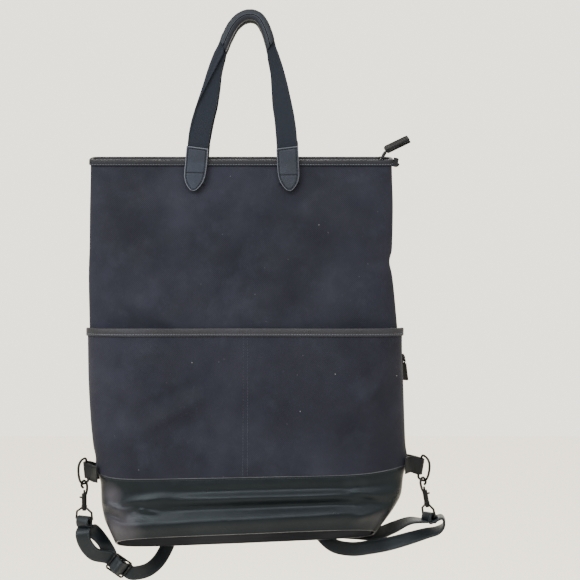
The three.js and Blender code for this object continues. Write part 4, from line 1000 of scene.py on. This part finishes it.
def strap_stations(name):
    run = RUNS[name]
    origin, way, wide = slide_frame(name)
    out = np.cross(wide, way)
    if (name == "left") == (out[1] > 0):
        out = -out
    angles = lean_tip(wide)
    pitch = SLIDE_WINDOW + 2 * SLIDE_WIRE
    turn = SLIDE_WIRE + GAP + STRAP_T / 2 + 0.6

    base = FITTINGS[name][3]

    def near(a, b):
        return (origin + way * a + out * b, *angles)

    def course(part):
        return [(v(x, y, z) + base, lean, tip) for x, y, z, lean, tip in run[part]]

    rows = [near(-turn * 0.9, turn * 0.55), near(0, turn), near(turn, 0), near(0, -turn),
            near(-pitch, -turn - STRAP_T - GAP)]
    rows += course("fixed")
    eye = eye_frame(name)
    bar_at = -GAP - COLLAR_L - EYE_WINDOW - EYE_WIRE
    loop = EYE_WIRE + GAP + STRAP_T / 2 + 0.7
    side = 1 if name == "left" else -1
    bar = eye[:3, 0].copy()
    if (bar[0] if name == "left" else bar[1]) < 0:
        bar = -bar
    for y, z in ((-side, -1.4), (-side * 1.05, 0.1), (0, 1), (side * 1.05, 0.1), (side, -1.4)):
        rows.append((put(eye, (0, -y * loop, bar_at + z * loop)), *lean_tip(bar)))
    rows += course("moving")
    rows += [near(-pitch - 4, -turn * 0.95), near(-pitch, -turn - 0.1), near(-pitch * 0.55, 1.3),
             near(0, turn + STRAP_T + GAP), near(pitch * 0.55, 1.3), near(pitch, -turn - 0.1),
             near(pitch + 4, -turn * 0.8)]
    rows += course("rising")
    last = len(run["back"]) - 1
    for k in range(2 * last + 1):
        low, high = run["back"][k // 2], run["back"][(k + 1) // 2]
        rows.append((on_face(1, (low[0] + high[0]) / 2, (low[1] + high[1]) / 2 * BAG_H, OFF_BACK), run["flat"], 0))
    points = np.array([r[0] for r in rows])
    widths = np.array([angles_to_width(r[1], r[2]) for r in rows])
    return route(points, widths, 12)


for name in ("left", "right"):
    stations = strap_stations(name)
    strap = ribbon("strap_leather_" + name, stations, rounded(STRAP_W, STRAP_T, 0.9, 1.9, 0.18))
    show(strap, "strap_leather", "strap", "strap_" + name)
    thread = edge_stitches("strap_thread_" + name, stations, STRAP_W, STRAP_T, 1.9, STRAP_THREAD)
    show(thread, "strap_leather", "strap_thread")


# The patch on the back: half width, height, place, its lift off the canvas, room over the straps, wall, seam's inset
PATCH_HALF, PATCH_H, PATCH_AT, PATCH_LIFT, PATCH_ROOM, PATCH_WALL, PATCH_SEAM = 31, 30, 0.052, 0.4, 1.9, 1.4, 2.2


def patch_room(s, t):
    """The share of the room over the straps that the patch has at s and t."""
    return np.minimum(1, 6 * (1 - np.abs(s))) * np.minimum(1, 7 * t)


def patch_face(s, t, room, rise):
    """A point of the patch at the shares s (-1 to 1) and t (0 to 1), over the room for the straps below it."""
    return on_face(1, SHIFT + s * PATCH_HALF, PATCH_AT * BAG_H + t * PATCH_H,
                   PATCH_LIFT + room * (STRAP_T + PATCH_ROOM) + rise)


def strap_patch():
    s, t = np.linspace(-1, 1, 90)[None, :], np.linspace(0, 1, 46)[:, None]
    kernel = np.array([1, 2, 3, 4, 3, 2, 1]) / 16
    room = np.apply_along_axis(lambda r: np.convolve(np.pad(r, 3, mode="edge"), kernel, "valid"), 1, patch_room(s, t))
    near = np.minimum((1 - np.abs(s)) * PATCH_HALF, np.minimum(t, 1 - t) * PATCH_H)
    round_ = 0.5 * np.exp(-near / 0.5) + 0.22 * np.exp(-((near - PATCH_SEAM) / 0.45) ** 2)
    return sheet("patch", patch_face(s, t, room, PATCH_WALL - round_), patch_face(s, t, room, 0))


def patch_stitches():
    wide, low, high = PATCH_HALF - PATCH_SEAM, PATCH_SEAM, PATCH_H - PATCH_SEAM
    corners = [(-wide, low), (wide, low), (wide, high), (-wide, high), (-wide, low)]
    runs = []
    for a, b in zip(corners[:-1], corners[1:]):
        share = np.linspace(0, 1, 40)
        s, t = (a[0] + (b[0] - a[0]) * share) / PATCH_HALF, (a[1] + (b[1] - a[1]) * share) / PATCH_H
        p = patch_face(s, t, patch_room(s, t), PATCH_WALL - 0.15)
        runs.append((p, np.tile([0, 1, 0.1], (len(p), 1))))
    return stitches("patch_thread", runs, *PATCH_THREAD)


show(strap_patch(), "tab_leather", "tab", "strap_patch")
show(patch_stitches(), "tab_leather", "thread")


# Zips
ZIP_T, ZIP_TEETH, TOOTH_PITCH = 1.2, 5, 2.3
SIDE_ZIP = (0.455, 0.72)


def zip_tape(name, place_, count):
    """Tape with a slight ridge at each side of the chain. place_(t, k) gives a point and its outward direction."""
    ts = np.concatenate([np.linspace(0, 0.27, 10), np.linspace(0.29, 0.71, 9), np.linspace(0.73, 1, 10)])
    rise = 0.35 * np.exp(-((np.abs(ts - 0.5) - 0.23) / 0.03) ** 2) - 0.25 * (np.abs(ts - 0.5) < 0.2)
    top, low = [], []
    for k in np.linspace(0, 1, count):
        p, out = place_(ts, k)
        top.append(p + out * rise[:, None])
        low.append(p - out * (ZIP_T * 0.9))
    return sheet(name, top, low)


# Sections of a tooth across the zip: where, half its width, its height
TOOTH_FORM = [(-1, 0.55, 0.35), (-0.75, 0.85, 0.62), (0.3, 0.85, 0.66), (0.62, 0.6, 0.6), (1, 0.35, 0.3)]


def teeth(name, place_, length, skip):
    """Interlocking teeth along the middle of a tape, but for the shares `skip` of its length."""
    bm = bmesh.new()
    n = int(length / TOOTH_PITCH)
    for k in range(n):
        share = (k + 0.5) / n
        if skip[0] < share < skip[1]:
            continue
        (middle, beside), outs = place_(np.array([0.5, 0.6]), share)
        ahead, behind = (place_(np.array([0.5]), at)[0][0] for at in (min(1, share + 0.004), max(0, share - 0.004)))
        along, out, side = unit(ahead - behind), unit(outs[0]), unit(beside - middle)
        side = side if k % 2 else -side
        c = middle + side * ZIP_TEETH * 0.16 + out * 0.35
        rows = []
        for u, half, tall in TOOTH_FORM:
            centre = c - side * u * ZIP_TEETH * 0.34 + out * 0.1
            wide = along * half * TOOTH_PITCH * 0.42
            rows.append([bm.verts.new((centre + wide * math.cos(q) + out * math.sin(q) * tall) / 1000)
                         for q in np.linspace(0, TAU, 8, endpoint=False)])
        close_rows(bm, rows)
    return from_bmesh(name, bm, 0.9)


TOP_INSET = CANVAS + BAND_WALL + 4 * GAP
TOP_AT, TOP_END, SIDE_GAP = 0.007, 0.18, POCKET_GAP + ZIP_T
top_pitch = float(smooth(SECTIONS, "pitch", TOP_AT))


def top_place(t, k):
    """A point of the top zip, t across and k along, with its outward direction."""
    angle = math.pi + TOP_END + (math.pi - 2 * TOP_END) * k
    front, back = (bag_point(turn, TOP_AT, TOP_INSET) for turn in (angle, TAU - angle))
    p = front + (back - front) * np.asarray(t)[:, None]
    return p + [0, 0, 0.3], np.tile(unit(v(0, -top_pitch, 1)), (len(p), 1))


def side_place(t, k):
    """A point of the side zip, as top_place gives it."""
    at = SIDE_ZIP[0] + (SIDE_ZIP[1] - SIDE_ZIP[0]) * k
    angle = 0.02 + 0.22 * np.asarray(t)
    p = bag_point(angle, at, -SIDE_GAP - 0.2)
    ahead = bag_point(angle + 0.01, at, -SIDE_GAP)
    up = bag_point(angle, at - 0.002, -SIDE_GAP)
    base = bag_point(angle, at, -SIDE_GAP)
    out = unit(np.cross(up - base, ahead - base))
    return p, out * np.sign(out[:, :1] + 1e-9)


show(zip_tape("top_zip_tape", top_place, 160), "zip_tape", "tape", "top_zip")
show(zip_tape("side_zip_tape", side_place, 90), "zip_tape", "tape", "side_zip")
show(teeth("top_zip_teeth", top_place, 325, (0.905, 0.99)), "zip_tape", "teeth")
show(teeth("side_zip_teeth", side_place, 114, (0.2, 0.31)), "zip_tape", "teeth")


# Thread of the bag's seams
mouth_out = -MOUTH_GAP - BAND_WALL + 0.1
p, q = (bag_point(np.linspace(0, TAU, 700), (MOUTH_BAND - 1.6) / BAG_H, mouth_out - far) for far in (0, 1))
show(stitches("mouth_thread", [(p, q - p)], *BAND_THREAD), "binding_leather", "thread")

angles = np.linspace(math.pi + 0.01, TAU - 0.01, 500)
at = POCKET_AT + (POCKET_BAND - 2.2) / BAG_H
binding_out = -pocket_outset(angles, at) - CANVAS - POCKET_GAP - BAND_WALL
p, q = (bag_point(angles, at, binding_out + far) for far in (0.1, -1))
show(stitches("pocket_thread", [(p, q - p)], *BAND_THREAD), "binding_leather", "thread")

runs = []
for x in (-7.6, -2.7):
    at = np.linspace(POCKET_AT * BAG_H + POCKET_BAND + 1, SEAM * BAG_H - 1.5, 220) / BAG_H
    angle = angle_at(-1, x, at)
    p = bag_point(angle, at, -pocket_outset(angle, at) - CANVAS - 0.02)
    runs.append((p, np.tile([0, -1, 0], (len(p), 1))))
show(stitches("centre_thread", runs, *CENTRE_THREAD), "canvas", "canvas_thread")

p, q = (cloth_point(np.linspace(0, TAU, 900), SEAM + 2.9 / BAG_H, out) for out in (-0.25, -1.25))
show(stitches("base_thread", [(p, q - p)], *BASE_THREAD), "base_leather", "base_thread")


# Fittings: the solid part's own metal, with a worn black finish, and the zip's leather pull
METAL_NODES = ["top_zip_slider", "top_zip_link", "side_zip_slider", "side_zip_pull"]
METAL_NODES += [kind + "_" + side for kind in ("ring", "hook", "bolt", "eye", "slide") for side in ("left", "right")]
for name in METAL_NODES:
    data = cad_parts[name].data
    data.materials.clear()
    data.materials.append(MATS["metal"])


# The two ends of the top zip's link, and the pull's length, half width, wall and thread's place across it
LINK_FOOT, LINK_HEAD = v(147.98, -1.39, -156.17), v(154.87, -4.94, -145.73)
PULL_L, PULL_HALF, PULL_WALL, PULL_SEAM = 27, 5.6, 1.5, 3.5


def leather_pull():
    """Leather folded round the link and sewn to itself, seen a little from the side."""
    way = unit(v(0.88, -0.05, 0.42))
    wide = v(0.3, -0.85, -0.5)
    wide = unit(wide - way * np.dot(wide, way))
    out = np.cross(wide, way)
    s = np.concatenate([np.linspace(PULL_L, 2, 26), np.linspace(1, 0, 3)])
    gap = 1.05 + 0.4 * np.exp(-((s - 0.4) / 3.2) ** 2)
    turn = np.linspace(math.pi / 2, 3 * math.pi / 2, 13)[1:-1]

    def side_line(wall_, end):
        h = gap + wall_
        upper = np.stack([s - (s > PULL_L - 0.5) * end, h], -1)
        bend = np.stack([h[-1] * np.cos(turn), h[-1] * np.sin(turn)], -1)
        return np.vstack([upper, bend, upper[::-1] * [1, -1]])

    rows = []
    for t in np.concatenate([[-1, -0.97], np.linspace(-0.9, 0.9, 9), [0.97, 1]]):
        trim = 0.5 if abs(t) == 1 else 0.15 if abs(t) > 0.95 else 0
        outer, inner = side_line(PULL_WALL - trim, trim), side_line(trim * 0.5, trim)
        edge = np.vstack([outer, inner[::-1]])
        slim = PULL_HALF * np.interp(edge[:, 0], [-2, 4, PULL_L - 3, PULL_L], [0.8, 1, 1, 0.93])
        rows.append(LINK_HEAD + edge[:, :1] * way + edge[:, 1:] * out + (t * slim)[:, None] * wide)
    runs = []
    for across in (-PULL_SEAM, PULL_SEAM):
        for face in (1, -1):
            p = LINK_HEAD + np.linspace(5, PULL_L - 2, 20)[:, None] * way + wide * across + out * face * 2.52
            runs.append((p, np.tile(out * face, (20, 1))))
    return loft("folded_pull", rows), stitches("pull_thread", runs, *PULL_THREAD)


pull, pull_thread = leather_pull()
show(pull, "tab_leather", "pull", "top_zip_pull", body="top_pull")
show(pull_thread, "tab_leather", "dark_thread_and_shadow", body="top_pull")

# The heavy middle of the top zip's link
link_line = [LINK_FOOT + (LINK_HEAD - LINK_FOOT) * share for share in np.linspace(0.3, 0.7, 5)]
stations = route(np.array(link_line), np.tile(unit(v(0, -1, -0.34)), (5, 1)), 8)
show(ribbon("link_body", stations, rounded(6.2, 3.4, 1.2)), "black_metal", "metal", body="top_link")

# The mouth binding's end, curled out at the right corner
CURL = np.array([(158.5, -4.5, -160.5), (161.5, -5.2, -162.5), (164.8, -4.2, -163), (167, -2, -160.5),
                 (165.8, 0.5, -157.8), (162.5, 1.6, -157)])
stations = route(CURL, np.tile(unit(v(-0.1, 0.35, 1)), (len(CURL), 1)), 10)
show(ribbon("binding_end", stations, rounded(6.2, 1.3, 0.5)), "binding_leather", "mouth")


# Camera at the photograph's place: level, a little to the right of the origin
FRAME_PX, FOCAL_PX, SENSOR, CAMERA_AT = 580, 1000, 36, (0.0445, -1.14, -0.3055)
camera_data = bpy.data.cameras.new("camera")
camera_data.sensor_width = SENSOR
camera_data.lens = SENSOR * FOCAL_PX / FRAME_PX
camera_data.clip_end = 20
camera = linked("camera", camera_data)
camera.location = CAMERA_AT
camera.rotation_euler = (math.radians(90), 0, 0)
bpy.context.scene.camera = camera


def area(name, place_, target, size, power, colour=(1, 1, 1)):
    data = bpy.data.lights.new(name, "AREA")
    data.shape = "RECTANGLE"
    data.size, data.size_y = size
    data.energy, data.color = power, colour
    obj = linked(name, data)
    obj.location = place_
    obj.rotation_euler = (Vector(target) - Vector(place_)).to_track_quat("-Z", "Y").to_euler()


area("window", (-1.5, -1.5, 0.55), (0, 0, -0.35), (1.1, 1.3), 95, (0.97, 0.985, 1))
area("room", (1.5, -1.3, 0.2), (0.05, 0, -0.4), (1.4, 1.8), 14, (0.97, 0.98, 1))
area("ceiling", (0.1, -0.7, 1.3), (0, 0, -0.4), (1.8, 0.8), 24)
area("above", (-0.25, -1.75, 0.95), (0, 0, -0.5), (2.2, 0.5), 90)
area("behind", (0.3, 1.6, 0.6), (0, 0, -0.3), (1.4, 1.4), 12)

world = bpy.data.worlds.new("world")
world.use_nodes = True
background = world.node_tree.nodes["Background"].inputs
background["Color"].default_value = linear((227, 221, 207))
background["Strength"].default_value = 3.3
bpy.context.scene.world = world

FLOOR_Z, FLOOR_HALF = -1.35, 6
floor_mesh = bpy.data.meshes.new("floor")
corners = [(a * FLOOR_HALF, b * FLOOR_HALF, FLOOR_Z) for a, b in ((-1, -1), (1, -1), (1, 1), (-1, 1))]
floor_mesh.from_pydata(corners, [], [(0, 1, 2, 3)])
floor = linked("floor", floor_mesh)
floor_look = Look("floor")
floor_look.shade(Base_Color=linear((249, 245, 236)), Roughness=0.8)
floor_mesh.materials.append(floor_look.mat)
